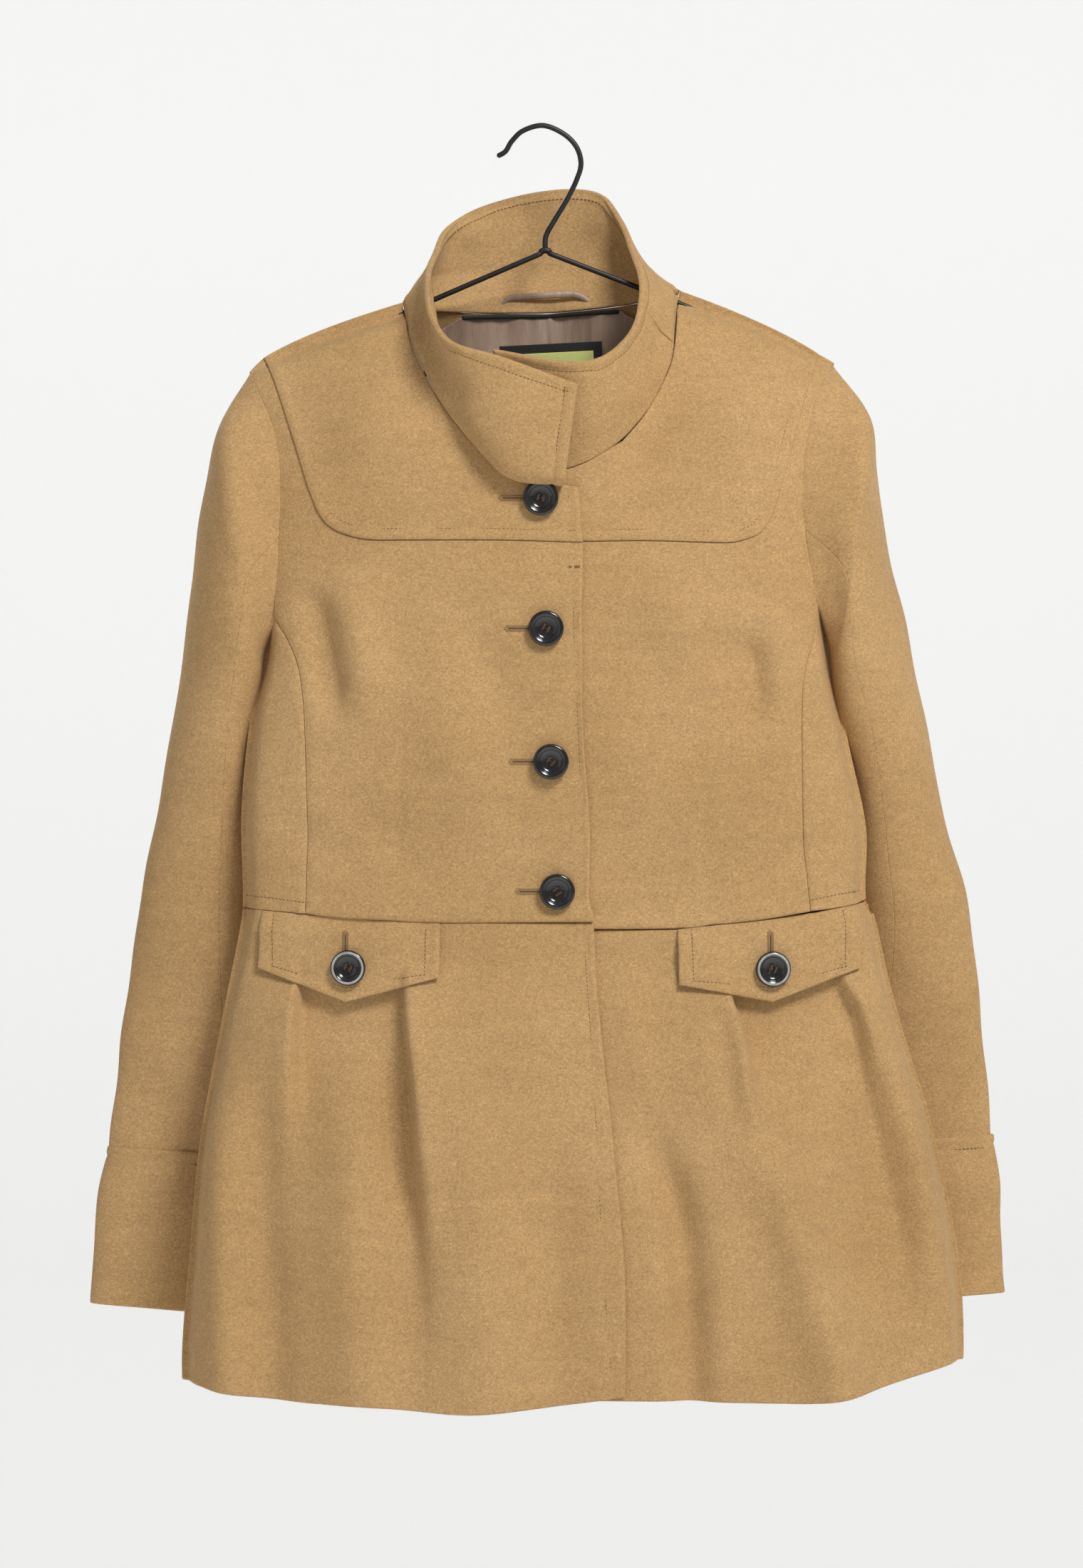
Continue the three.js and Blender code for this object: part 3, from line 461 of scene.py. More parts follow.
def faces_between(rows, columns, wrap):
    """The faces of two layers of points and of the edges that join them."""
    steps = columns if wrap else columns - 1

    def at(layer, i, j):
        return (layer * rows + i) * columns + j % columns

    faces = []
    for i in range(rows - 1):
        for j in range(steps):
            faces.append((at(0, i, j), at(0, i, j + 1), at(0, i + 1, j + 1), at(0, i + 1, j)))
            faces.append((at(1, i, j), at(1, i + 1, j), at(1, i + 1, j + 1), at(1, i, j + 1)))
    for j in range(steps):
        faces.append((at(0, 0, j), at(1, 0, j), at(1, 0, j + 1), at(0, 0, j + 1)))
        faces.append((at(0, rows - 1, j), at(0, rows - 1, j + 1), at(1, rows - 1, j + 1), at(1, rows - 1, j)))
    if not wrap:
        end = columns - 1
        for i in range(rows - 1):
            faces.append((at(0, i, 0), at(0, i + 1, 0), at(1, i + 1, 0), at(1, i, 0)))
            faces.append((at(0, i, end), at(1, i, end), at(1, i + 1, end), at(0, i + 1, end)))
    return faces


def outward(vertices, faces):
    """The faces turned so that the closed mesh faces out."""
    corners = np.array([face[:3] for face in faces])
    fourth = np.array([face[3] for face in faces])
    a, b, c = (vertices[corners[:, k]] for k in range(3))
    d = vertices[fourth]
    volume = (a * np.cross(b, c)).sum() + (a * np.cross(c, d)).sum()
    return faces if volume > 0 else [face[::-1] for face in faces]


def sheet_mesh(name, grid, material, lead, thickness=CLOTH, lift=0.0, roll=1.1, wrap=False):
    """A closed sheet on a grid of points. lift is an array or number outwards; lead says which way is out.

    roll is the rounding radius of its edges: one number, or four for the first and last row and column.
    """
    normal = facing(normals_of(grid, wrap), lead)
    roll = (roll,) * 4 if np.isscalar(roll) else roll
    gaps = list(runs(grid, 0)) + ([] if wrap else list(runs(grid, 1)))
    drop = np.zeros(grid.shape[:2])
    for gap, radius in zip(gaps, roll):
        if radius > 0:
            drop = np.maximum(drop, rolled(gap, radius))
    lift = np.broadcast_to(np.asarray(lift, float), grid.shape[:2])
    outer = grid + normal * (lift - drop)[..., None]
    inner_drop = np.minimum(drop, thickness / 2)
    inner = grid + normal * (lift - thickness + inner_drop)[..., None]
    vertices = np.concatenate([outer.reshape(-1, 3), inner.reshape(-1, 3)])
    faces = outward(vertices, faces_between(grid.shape[0], grid.shape[1], wrap))
    return link(name, vertices, faces, material)


def places(length, pitch, ends=(True, True)):
    """Shares of a length, closer together near each end so that an edge can round off."""
    close = np.array([0, 0.35, 0.75, 1.2, 1.8, 2.6])
    count = max(int((length - 8) / pitch), 2)
    inner = np.linspace(4, length - 4, count + 1)
    first = close if ends[0] else np.array([0.0])
    last = length - close[::-1] if ends[1] else np.array([length])
    return np.concatenate([first, inner, last]) / length


def rail_places(first, second, pitch):
    """Places along two rails, close together at their ends and at every corner."""
    parts = len(first.lengths)
    out = []
    shared = second.lengths
    if len(shared) != parts:
        shared = [sum(shared) / parts] * parts
    for k in range(parts):
        length = max(first.lengths[k], shared[k], 12)
        share = places(length, pitch, (k == 0, k == parts - 1))
        out.append((k + share[:-1]) / parts if k < parts - 1 else (k + share) / parts)
    return np.clip(np.concatenate(out), 0, 1)


def flat(points):
    """Places [turn, z] of (x, z) points."""
    return np.stack([turn_at(points[..., 0], points[..., 1]), points[..., 1]], axis=-1)


FRONT = np.array([0, -1.0, 0])
BACK = np.array([0, 1.0, 0])


def body_grid(side, first, second, pitch=3.2, ends=None):
    """Points of the patch between two rails. ends closes it where its start and finish aren't straight."""
    t = rail_places(first, second, pitch)
    start, end = first(t), second(t)
    if ends:
        s = rail_places(ends[0], ends[1], pitch)
    else:
        middle = len(t) // 2
        s = places(max(float(np.linalg.norm(start[middle] - end[middle])), 14), pitch)
    share = s[:, None, None]
    place = flat(start)[None] * (1 - share) + flat(end)[None] * share
    if ends:
        for line, column, weight in ((ends[0], 0, 1 - t), (ends[1], -1, t)):
            place = place + (flat(line(s)) - place[:, column])[:, None] * weight[None, :, None]
    turn, z = np.clip(place[..., 0], FOLD_TURN, math.pi - FOLD_TURN), place[..., 1]
    return body_point(side, turn, z)


def surface(side, x, z, relief):
    """Points of the dressed face and its outward normals, at places (x, z)."""
    x, z = np.asarray(x, float), np.asarray(z, float)

    def at(px, pz):
        return body_point(side, turn_at(px, pz), pz)

    here, right, up = at(x, z), at(x + 0.5, z), at(x, z + 0.5)
    normal = np.cross(right - here, up - here) * (1 if side < 0 else -1)
    normal /= np.linalg.norm(normal, axis=-1, keepdims=True)
    return here + normal * np.asarray(at_each(relief, x, z))[..., None], normal


# ---- materials ----
def linear(r, g, b):
    """A colour's linear values with full opacity, from its display values out of 255."""
    shares = (c / 255 for c in (r, g, b))
    return tuple(c / 12.92 if c <= 0.04045 else ((c + 0.055) / 1.055) ** 2.4 for c in shares) + (1.0,)


def grey(value):
    return (value, value, value, 1)


class Finish:
    """A material built from nodes, with short calls for what repeats."""

    def __init__(self, name, roughness, specular=0.5):
        self.material = bpy.data.materials.new(name)
        self.material.use_nodes = True
        self.tree = self.material.node_tree
        self.shader = self.tree.nodes["Principled BSDF"]
        self.shader.inputs["Roughness"].default_value = roughness
        self.shader.inputs["Specular IOR Level"].default_value = specular
        self.place = self.tree.nodes.new("ShaderNodeTexCoord").outputs["Object"]

    def set(self, **values):
        for key, value in values.items():
            self.shader.inputs[key.replace("_", " ")].default_value = value

    def feed(self, socket, value):
        """Links a socket to another node's output, or sets a plain value on it."""
        if isinstance(value, bpy.types.NodeSocket):
            self.tree.links.new(value, socket)
        else:
            socket.default_value = value

    def node(self, kind, *values, **settings):
        """A new node with its own settings. values are pairs of a socket and what it takes."""
        node = self.tree.nodes.new("ShaderNode" + kind)
        for key, value in settings.items():
            setattr(node, key, value)
        for key, value in values:
            self.feed(node.inputs[key], value)
        return node

    def stretched(self, x, y, z):
        return self.node("Mapping", ("Scale", (x, y, z)), ("Vector", self.place)).outputs["Vector"]

    def noise(self, scale, detail=3.0, roughness=0.55, vector=None):
        node = self.node("TexNoise", ("Scale", scale), ("Detail", detail), ("Roughness", roughness),
                         ("Vector", vector or self.place))
        return node.outputs["Fac"]

    def ribs(self, scale, distortion):
        """Level bands, as of a weave."""
        node = self.node("TexWave", ("Scale", scale), ("Distortion", distortion), ("Vector", self.place),
                         bands_direction="Z")
        return node.outputs["Fac"]

    def ramp(self, value, stops):
        node = self.node("ValToRGB", ("Fac", value))
        while len(node.color_ramp.elements) < len(stops):
            node.color_ramp.elements.new(0.5)
        for element, (position, color) in zip(node.color_ramp.elements, stops):
            element.position = position
            element.color = color
        return node.outputs["Color"]

    def mix(self, kind, amount, first, second):
        node = self.node("Mix", data_type="RGBA", blend_type=kind)
        for number, value in ((0, amount), (6, first), (7, second)):
            self.feed(node.inputs[number], value)
        return node.outputs[2]

    def scaled(self, value, factor, offset):
        return self.node("Math", (0, value), (1, factor), (2, offset), operation="MULTIPLY_ADD").outputs[0]

    def bump(self, height, strength, distance, below=None):
        node = self.node("Bump", ("Strength", strength), ("Distance", distance), ("Height", height))
        if below is not None:
            self.feed(node.inputs["Normal"], below)
        return node.outputs["Normal"]

    def finish(self, color, normal, roughness=None):
        self.feed(self.shader.inputs["Base Color"], color)
        self.feed(self.shader.inputs["Normal"], normal)
        if roughness is not None:
            self.feed(self.shader.inputs["Roughness"], roughness)
        return self.material


def brushed_cotton(name, dark, middle, light):
    """Napped cotton: cloudy tone, faint streaks across, a fine pile and a soft sheen."""
    cloth = Finish(name, 0.93, 0.12)
    cloth.set(Sheen_Weight=0.16, Sheen_Roughness=0.5, Sheen_Tint=linear(255, 236, 205))
    clouds = cloth.noise(9, 5, 0.62)
    streaks = cloth.noise(85, 5, 0.6, cloth.stretched(0.22, 1, 1.6))
    pile = cloth.noise(1300, 4, 0.75, cloth.stretched(0.8, 1, 1))
    flecks = cloth.noise(780, 4, 0.75, cloth.stretched(0.75, 1, 1))
    color = cloth.ramp(clouds, [(0.34, linear(*dark)), (0.52, linear(*middle)), (0.7, linear(*light))])
    shade = cloth.ramp(streaks, [(0.32, grey(0.95)), (0.68, grey(1.04))])
    grain = cloth.ramp(pile, [(0.3, grey(0.66)), (0.7, grey(1.3))])
    fleck = cloth.ramp(flecks, [(0.32, grey(0.74)), (0.68, grey(1.22))])
    mottle = cloth.ramp(cloth.noise(210, 4, 0.7), [(0.34, grey(0.93)), (0.66, grey(1.07))])
    for amount, layer in ((0.8, shade), (0.8, grain), (0.9, fleck), (0.8, mottle)):
        color = cloth.mix("MULTIPLY", amount, color, layer)
    soft = cloth.bump(flecks, 0.3, 0.0006)
    return cloth.finish(color, cloth.bump(pile, 0.4, 0.0005, soft))


def satin(name):
    """Soft lining satin: upright creases in height, with painted shade in their hollows and painted highlight
    on their ridges, over a fine weave.
    """
    cloth = Finish(name, 0.42, 0.4)
    cloth.set(Sheen_Weight=0.15, Anisotropic=0.4)
    creases = cloth.noise(26, 4, 0.6, cloth.stretched(2.6, 1, 0.4))
    weave = cloth.ribs(420, 0.6)
    # Painted shade and highlight: the colour follows the creases' height, darker in their hollows and lighter
    # on their ridges.
    tone = cloth.ramp(creases, [(0.3, linear(138, 114, 97)), (0.55, linear(168, 143, 124)),
                                (0.8, linear(190, 168, 150))])
    color = cloth.mix("MULTIPLY", 0.12, tone, cloth.ramp(weave, [(0, grey(0.7)), (1, grey(1))]))
    soft = cloth.bump(creases, 0.6, 0.004)
    return cloth.finish(color, cloth.bump(weave, 0.1, 0.0002, soft))


def horn(name, dark, middle, light):
    """Polished horn, clouded within and lightly scuffed."""
    polished = Finish(name, 0.16, 0.5)
    polished.set(Coat_Weight=0.5, Coat_Roughness=0.06)
    marble = polished.noise(240, 4, 0.6, polished.stretched(1, 1, 0.35))
    color = polished.ramp(marble, [(0.35, linear(*dark)), (0.62, linear(*middle)), (0.8, linear(*light))])
    scuffs = polished.noise(900, 3, 0.6)
    rough = polished.scaled(scuffs, 0.22, 0.07)
    return polished.finish(color, polished.bump(scuffs, 0.04, 0.0002), rough)


def yarn(name, dark, light):
    """Twisted sewing thread."""
    thread = Finish(name, 0.75, 0.25)
    thread.set(Sheen_Weight=0.2)
    twist = thread.noise(2200, 2, 0.5)
    color = thread.ramp(twist, [(0.3, linear(*dark)), (0.7, linear(*light))])
    return thread.finish(color, thread.bump(twist, 0.5, 0.0002))


def painted_wire(name):
    """Black paint with a faint unevenness."""
    paint = Finish(name, 0.48, 0.4)
    paint.set(Coat_Weight=0.15, Coat_Roughness=0.35)
    orange_peel = paint.noise(900, 3, 0.6)
    color = paint.ramp(paint.noise(120, 4, 0.6), [(0.3, linear(16, 16, 17)), (0.75, linear(34, 33, 33))])
    return paint.finish(color, paint.bump(orange_peel, 0.12, 0.0002))


def woven(name, dark, light):
    """A ribbed tape or label cloth."""
    cloth = Finish(name, 0.65, 0.3)
    cloth.set(Sheen_Weight=0.2)
    ribs = cloth.ribs(600, 0.4)
    fleck = cloth.noise(500, 3, 0.6)
    color = cloth.mix("MIX", fleck, linear(*dark), linear(*light))
    return cloth.finish(color, cloth.bump(ribs, 0.25, 0.0002))


CAMEL = brushed_cotton("camel_cotton", (184, 147, 99), (189, 152, 104), (195, 158, 110))
# A copy of the camel cloth a little darker: painted shade on the collar.
SHADED_COLLAR_CAMEL = brushed_cotton("camel_cotton_painted_shade", (182, 145, 97), (187, 150, 102), (193, 156, 108))
SATIN = satin("lining_satin")
HORN = horn("black_horn", (14, 12, 12), (30, 26, 25), (62, 50, 44))
# A pale grey horn: painted highlight on the crests of the flap buttons' rims.
RIM_HIGHLIGHT_HORN = horn("painted_highlight_horn", (150, 148, 146), (176, 174, 172), (198, 196, 194))
SEAM_YARN = yarn("seam_yarn", (112, 82, 48), (142, 106, 66))
HOLE_YARN = yarn("buttonhole_yarn", (138, 106, 68), (172, 136, 90))
BUTTON_YARN = yarn("button_yarn", (52, 38, 30), (96, 72, 56))
WIRE = painted_wire("wire_paint")
BLACK_CLOTH = woven("black_cloth", (14, 14, 14), (30, 29, 28))
LABEL_CLOTH = woven("label_cloth", (192, 197, 112), (208, 212, 132))


def dress(obj, body, slot, *nodes, blend=None):
    """A finished piece: it stands for CAD nodes, which it hides, and without blend rides on a body. slot is
    not used.

    blend has a start and an end, which are not used: a piece with blend has its transform baked in and rides
    on no body.
    """
    if not blend:
        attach(obj, body)
    if nodes:
        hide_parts(*nodes)
    if blend:
        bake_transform(obj)
    return obj


# Start and end points, in metres, near where the cloth meets a moving part; dress takes them as blend.
SKIRT_BLEND = {"start": (-0.03, -0.06, -0.53), "end": (-0.03, -0.06, -0.70)}
FLAP_BLEND = {"start": (0, -0.055, -0.519), "end": (0, -0.055, -0.531)}
COLLAR_BLEND = {"start": (-0.078, -0.038, -0.130), "end": (-0.056, -0.066, -0.150)}

# ---- the camera ----
CAMERA_DISTANCE = 4.2
FRAME_HEIGHT = 1.023
SENSOR = 36
camera = bpy.data.objects.new("camera", bpy.data.cameras.new("camera"))
bpy.context.scene.collection.objects.link(camera)
camera.data.sensor_width = SENSOR
camera.data.lens = SENSOR * (CAMERA_DISTANCE - 0.04) / FRAME_HEIGHT
camera.location = (-0.001, -CAMERA_DISTANCE, -0.432)
camera.rotation_euler = (math.pi / 2, 0, 0)
bpy.context.scene.camera = camera

# ---- stitches ----
BEAD = [(-0.95, 0.5), (-0.6, 1.0), (0.6, 1.0), (0.95, 0.5)]
BEAD_SIDES = 6


def beads(name, centres, along, normals, material, half_length=1.0, radius=0.36):
    """One mesh of small closed beads, each lying along a direction on a surface."""
    centres, along, normals = (np.asarray(a, float) for a in (centres, along, normals))
    along = along / np.linalg.norm(along, axis=1, keepdims=True)
    normals = normals - along * (normals * along).sum(axis=1, keepdims=True)
    normals = normals / np.linalg.norm(normals, axis=1, keepdims=True)
    across = np.cross(normals, along)
    points = []
    for offset, share in BEAD:
        for side in range(BEAD_SIDES):
            turn = 2 * math.pi * side / BEAD_SIDES
            points.append(centres + along * offset * half_length
                          + across * math.cos(turn) * radius * share
                          + normals * math.sin(turn) * radius * share * 0.8)
    vertices = np.stack(points, axis=1).reshape(-1, 3)
    size = len(BEAD) * BEAD_SIDES
    pattern = [tuple(range(BEAD_SIDES))[::-1], tuple(range(size - BEAD_SIDES, size))]
    for ring in range(len(BEAD) - 1):
        for side in range(BEAD_SIDES):
            after = (side + 1) % BEAD_SIDES
            low, high = ring * BEAD_SIDES, (ring + 1) * BEAD_SIDES
            pattern.append((low + side, low + after, high + after, high + side))
    faces = [tuple(k + bead * size for k in face) for bead in range(len(centres)) for face in pattern]
    return link(name, vertices, faces, material)


def stitch_places(points):
    """Places for stitches along a line of 3-D points, with the line's direction there."""
    run = run_along(points)
    at = np.arange(STITCH_PITCH, run[-1] - STITCH_PITCH / 2, STITCH_PITCH)

    def where(distance):
        return np.stack([np.interp(distance, run, points[:, k]) for k in range(3)], axis=1)

    return where(at), where(at + 0.3) - where(at - 0.3)


def nearest_places(points, line):
    """For each point, the index of the nearest point of a line."""
    return np.argmin(np.linalg.norm(points[:, None] - line[None], axis=2), axis=1)


def offset_path(path, distance):
    """A path shifted sideways in the (x, z) plane; positive is to the left of its direction."""
    path = even(path, 120)
    step = np.gradient(path, axis=0)
    step /= np.linalg.norm(step, axis=1, keepdims=True)
    return path + np.stack([-step[:, 1], step[:, 0]], axis=1) * distance


def surface_stitches(name, path, relief):
    """Stitches along a path of (x, z) points on the coat's front, sunk a little into its cloth."""
    points, _ = surface(-1, path[:, 0], path[:, 1], relief)
    centres, along = stitch_places(points)
    _, normals = surface(-1, centres[:, 0], centres[:, 2], relief)
    return beads(name, centres - normals * STITCH_SINK, along, normals, SEAM_YARN)


# ---- the fronts ----
# Each: x, z, the y of its back, and the x where its buttonhole ends.
FRONT_BUTTONS = [(-1.5, -246.2, -60.315, -27.9), (1.9, -331.1, -65.493, -24.0),
                 (5.1, -417.6, -67.738, -21.2), (9.2, -501.9, -61.220, -16.9)]


# Round each front button and its hole the cloth lies flat: by this share, over this width and height.
CALM_SHARE = 0.85
CALM_SHIFT = 6
CALM_WIDTH, CALM_HEIGHT = 24, 14
# The left front lies behind the right one up to the first x, and comes level with it at the second.
LAP = (60, 125)


def calm(relief):
    """A relief that dies away round each front button, so that the buttons sit on flat cloth."""
    def quiet(x, z):
        keep = np.ones(np.shape(x))
        for bx, bz, _, _ in FRONT_BUTTONS:
            across, up = (x - bx + CALM_SHIFT) / CALM_WIDTH, (z - bz) / CALM_HEIGHT
            keep = keep * (1 - CALM_SHARE * np.exp(-(across ** 2) - up ** 2))
        return relief(x, z) * keep
    return quiet


def under(x, z):
    """Sets the left front back, where the right one laps over it."""
    return -UNDER_DROP * (1 - smoothstep(x, *LAP))


def dart(path):
    """The sharp groove of a sewn dart."""
    return lambda x, z: groove(distance_to(path, x, z)[0], 1.0, 1.3)


def seam_dip(path):
    """The wide shallow dip beside a plain seam."""
    return lambda x, z: groove(distance_to(path, x, z)[0], 0.7, 2.2)


right_yoke_path = joined(RIGHT_YOKE_SEAM)
left_yoke_path = joined(LEFT_YOKE_SEAM)
placket_path = even(PLACKET, 120)
right_waist_path = even(RIGHT_WAIST, 80)
left_waist_path = even(LEFT_WAIST, 80)
front_lie = calm(front_relief)



def placket_edge(x, z):
    return stitched(distance_to(placket_path, x, z)[0]) * 0.9


right_yoke_relief = [front_lie, lapped(right_yoke_path), placket_edge]
left_yoke_relief = [front_lie, lapped(left_yoke_path), under]
right_bodice_relief = [front_lie, lapped(right_waist_path, WAIST_LAP), placket_edge,
                       dart(even(RIGHT_DART, 40)), seam_dip(even(RIGHT_PRINCESS, 60))]
left_bodice_relief = [front_lie, lapped(left_waist_path, WAIST_LAP), under,
                      dart(even(LEFT_DART, 40)), seam_dip(even(LEFT_PRINCESS, 60))]


def front_piece(node, first, second, relief, roll):
    grid = body_grid(-1, first, second)
    piece = sheet_mesh(node + "_cloth", grid, CAMEL, FRONT, lift=lift_of(relief, grid), roll=roll)
    dress(piece, "coat", "shell_cloth", node)


YOKES = {"right": (RIGHT_NECK, RIGHT_YOKE_SEAM, right_yoke_relief),
         "left": (LEFT_NECK, LEFT_YOKE_SEAM, left_yoke_relief)}
BODICES = {"right": (RIGHT_YOKE_SEAM, (RIGHT_ARMHOLE, RIGHT_PRINCESS, RIGHT_WAIST), right_bodice_relief),
           "left": (LEFT_YOKE_SEAM, (LEFT_ARMHOLE, LEFT_PRINCESS, LEFT_WAIST), left_bodice_relief)}
SIDE_FRONTS = {"right": (RIGHT_PRINCESS, RIGHT_SIDE, right_waist_path),
               "left": (LEFT_PRINCESS, LEFT_SIDE, left_waist_path)}
for side, (neck, seam, relief) in YOKES.items():
    front_piece(f"{side}_yoke", rail(*neck), rail(*seam), relief, (SEAM, FREE, 0.5, FREE))
for side, (top, rest, relief) in BODICES.items():
    front_piece(f"{side}_bodice_front", rail(*top), rail(*rest), relief, (0.4, SEAM, SEAM, FREE))
for side, (princess, side_seam, waist) in SIDE_FRONTS.items():
    relief = [front_lie, lapped(waist, WAIST_LAP), seam_dip(even(princess, 60))]
    front_piece(f"{side}_side_front", rail(princess), rail(side_seam), relief, SEAM)

# ---- the backs ----
BACK_WAIST = -520
RIGHT_UNDERARM, LEFT_UNDERARM = (-183, -342), (188, -337)
# Each: the centre seam's x, the neck, the shoulder, the waist's stretches, the armhole and the side seam.
BACKS = {
    "right": (1.8, [(1.8, -120), (-45, -119.5), (-88, -118)],
              [(-88, -118), (-125, -130), (-158, -142.5), (-193.5, -162.5)],
              [[(1.8, BACK_WAIST), (-94, BACK_WAIST)], [(-94, BACK_WAIST), (-197, -513)]],
              [(-193.5, -162.5)] + RIGHT_ARMHOLE[1:] + [RIGHT_UNDERARM],
              [RIGHT_UNDERARM, (-192, -389), (-197.6, -451), (-197, -513)]),
    "left": (2.2, [(2.2, -120), (45, -116), (86, -110)],
             [(86, -110), (138, -128), (192, -156.5)],
             [[(2.2, BACK_WAIST), (100, BACK_WAIST)], [(100, BACK_WAIST), (212.2, -508)]],
             [(192, -156.5)] + LEFT_ARMHOLE[1:] + [LEFT_UNDERARM],
             [LEFT_UNDERARM, (200, -402), (212, -460), (212.2, -508)]),
}
for side, (centre_x, neck, shoulder, waist, armhole, side_seam) in BACKS.items():
    middle = (centre_x, -320)
    centre_back = rail([(centre_x, neck[0][1]), middle], [middle, (centre_x, BACK_WAIST)])
    grid = body_grid(1, rail(neck, shoulder), rail(*waist), 3.6, (centre_back, rail(armhole, side_seam)))
    lift = lift_of([back_relief], grid)
    piece = sheet_mesh(f"{side}_back_bodice_cloth", grid, CAMEL, BACK, lift=lift, roll=SEAM)
    dress(piece, "coat", "shell_cloth", f"{side}_back_bodice")

# ---- the skirt ----
right_pleat, left_pleat = PLEATS[0][0], PLEATS[2][0]


def along_pleats(x, z):
    """Shifts a skirt's grid so that its joins follow the curved lines of the pleats."""
    down = np.clip((-z - 522) / 314, 0, 1)
    shifted = x
    for line, top, bottom in ((right_pleat, -91, -77), (left_pleat, 118, 128)):
        straight = top + (bottom - top) * down
        shift = (line(z) - straight) * smoothstep(-z, 522, 560)
        shifted = shifted + shift * np.exp(-(((x - straight) / 38) ** 2))
    return shifted


def hem(from_x, to_x, height, lift=0.0):
    x = np.linspace(from_x, to_x, 9)
    return rail([(px, float(height(px)) + lift) for px in x])


def skirt_panel(node, side, top, bottom, relief, pitch, roll):
    """A skirt panel from the waist down to its hem. The front ones follow the pleats."""
    grid = body_grid(side, rail(*top), bottom, pitch)
    if side < 0:
        x, z = along_pleats(grid[..., 0], grid[..., 2]), grid[..., 2]
        turn = np.clip(turn_at(x, z), FOLD_TURN, math.pi - FOLD_TURN)
        grid = body_point(side, turn, z)
    return sheet_mesh(node + "_cloth", grid, CAMEL, FRONT if side < 0 else BACK,
                      lift=lift_of(relief, grid), roll=roll)


def hem_fold(height):
    """The soft ridge where the hem is turned up."""
    return lambda x, z: 0.5 * np.exp(-(((z - height(x) - 1.5) / 2.2) ** 2))


right_skirt_relief = [skirt_relief, hem_fold(hem_z)]
left_skirt_relief = [skirt_relief, hem_fold(under_hem_z), under]
# Each: which face it is on, its top seam's stretches, its hem, its reliefs, its grid's pitch and its edges.
SKIRT = {
    "right_skirt_front": (-1, [[(-91, -522), (32.8, -522.2)]], hem(-77, 52.5, hem_z),
                          right_skirt_relief + [placket_edge], 2.6, (SEAM, FREE, FLUSH, FREE)),
    "right_skirt_side": (-1, [[(-197.2, -513.2), (-154, -517), (-91, -521.6)]], hem(-237, -77, hem_z),
                         right_skirt_relief, 2.6, (SEAM, FREE, 0.6, FLUSH)),
    "left_skirt_front": (-1, [[(-22, -527), (87, -526.5), (118, -523.6)]], hem(-5, 128, under_hem_z),
                         left_skirt_relief, 2.6, (SEAM, FREE, FREE, FLUSH)),
    "left_skirt_side": (-1, [[(118, -523.4), (174, -516), (212.5, -509)]], hem(128, 276, under_hem_z),
                        left_skirt_relief, 2.6, (SEAM, FREE, FLUSH, 0.6)),
    "right_skirt_back": (1, [[(-197, -513.5), (-100, -521)], [(-100, -521), (1.8, -521)]],
                         hem(-236.5, 1.8, hem_z, 4), [back_relief], 4, (SEAM, FREE, 0.6, SEAM)),
    "left_skirt_back": (1, [[(2.2, -521), (100, -521)], [(100, -521), (212.2, -508.5)]],
                        hem(2.2, 276, under_hem_z, -0.6), [back_relief], 4, (SEAM, FREE, SEAM, 0.6)),
}
for node, cut in SKIRT.items():
    piece = skirt_panel(node, *cut)
    if node == "right_skirt_front":
        dress(piece, "skirt_front", "shell_cloth", node, blend=SKIRT_BLEND)
    else:
        dress(piece, "coat", "shell_cloth", node)

# ---- stitching on the body ----
# Each line: its seam's path, its distance to the left of the path's direction, and the cloth it lies on.
STITCH_LINES = [
    ("right_yoke_stitches", right_yoke_path, STITCH_INSET, right_yoke_relief),
    ("left_yoke_stitches", left_yoke_path, -STITCH_INSET, left_yoke_relief),
    ("right_waist_stitches", np.concatenate([even([(-197, -512), (-176, -514)], 8), right_waist_path]),
     STITCH_INSET, right_bodice_relief),
    ("left_waist_stitches", np.concatenate([even([(211, -508.6), (190, -512)], 8), left_waist_path]),
     -STITCH_INSET, left_bodice_relief),
]
for name, path, inset, relief in STITCH_LINES:
    line = offset_path(path, inset)
    beside_placket = line[:, 0] > 30 if name.startswith("left") else line[:, 0] < 27
    dress(surface_stitches(name, line[beside_placket], relief), "coat", "thread")
placket_line = offset_path(PLACKET, -STITCH_INSET)
upper = placket_line[placket_line[:, 1] > -520]
lower = placket_line[(placket_line[:, 1] <= -521) & (placket_line[:, 1] > -829)]
upper_relief = [front_lie, placket_edge]
dress(surface_stitches("placket_stitches_upper", upper[upper[:, 1] < -238], upper_relief), "coat", "thread")
lower_stitches = surface_stitches("placket_stitches_lower", lower, right_skirt_relief + [placket_edge])
dress(lower_stitches, "skirt_front", "thread", blend=SKIRT_BLEND)

# ---- sleeves ----
# Each ring: outer point x, z, inner point x, z, centre y and half depth, from the shoulder down.
RIGHT_RINGS = [
    (-210, -189, -183, -349, -4, 40), (-222, -232, -185, -370, 1, 42), (-229.5, -277, -188, -394, 6, 40),
    (-236, -335, -192, -424, 12, 36), (-245, -392, -192, -457, 17, 32), (-255, -448, -190, -496, 22, 28),
    (-265, -500, -187, -535, 25, 24), (-274.6, -563, -180, -585, 31, 19), (-284, -634, -172, -645, 36, 15),
    (-288.4, -676, -168, -682, 38, 13)]
LEFT_RINGS = [
    (213, -188, 188, -345, -4, 40), (219, -225, 190, -370, 1, 42), (228, -277, 193, -397, 6, 40),
    (241, -332, 202, -428, 12, 36), (253, -390, 206, -460, 17, 32), (265, -450, 208, -497, 22, 28),
    (280, -505, 207, -537, 25, 24), (288, -563, 198, -583, 31, 19), (294.5, -622, 188, -634, 36, 15),
    (297.4, -668, 178, -675, 38, 13)]
RIGHT_CUFF_END = (-300.7, -777, -170, -787, 39, 13)
LEFT_CUFF_END = (307.5, -770, 178, -778, 39, 13)
SLEEVE_TUCK = 1.2
SLEEVE_SEAM = 1.9
CUFF_CLOTH = 2.8
CUFF_STITCH_INSET = 7
CUFF_SEGMENTS = 150
SLEEVE_LINING_DROP = 5.6
SLEEVE_LINING_SEGMENTS = 110
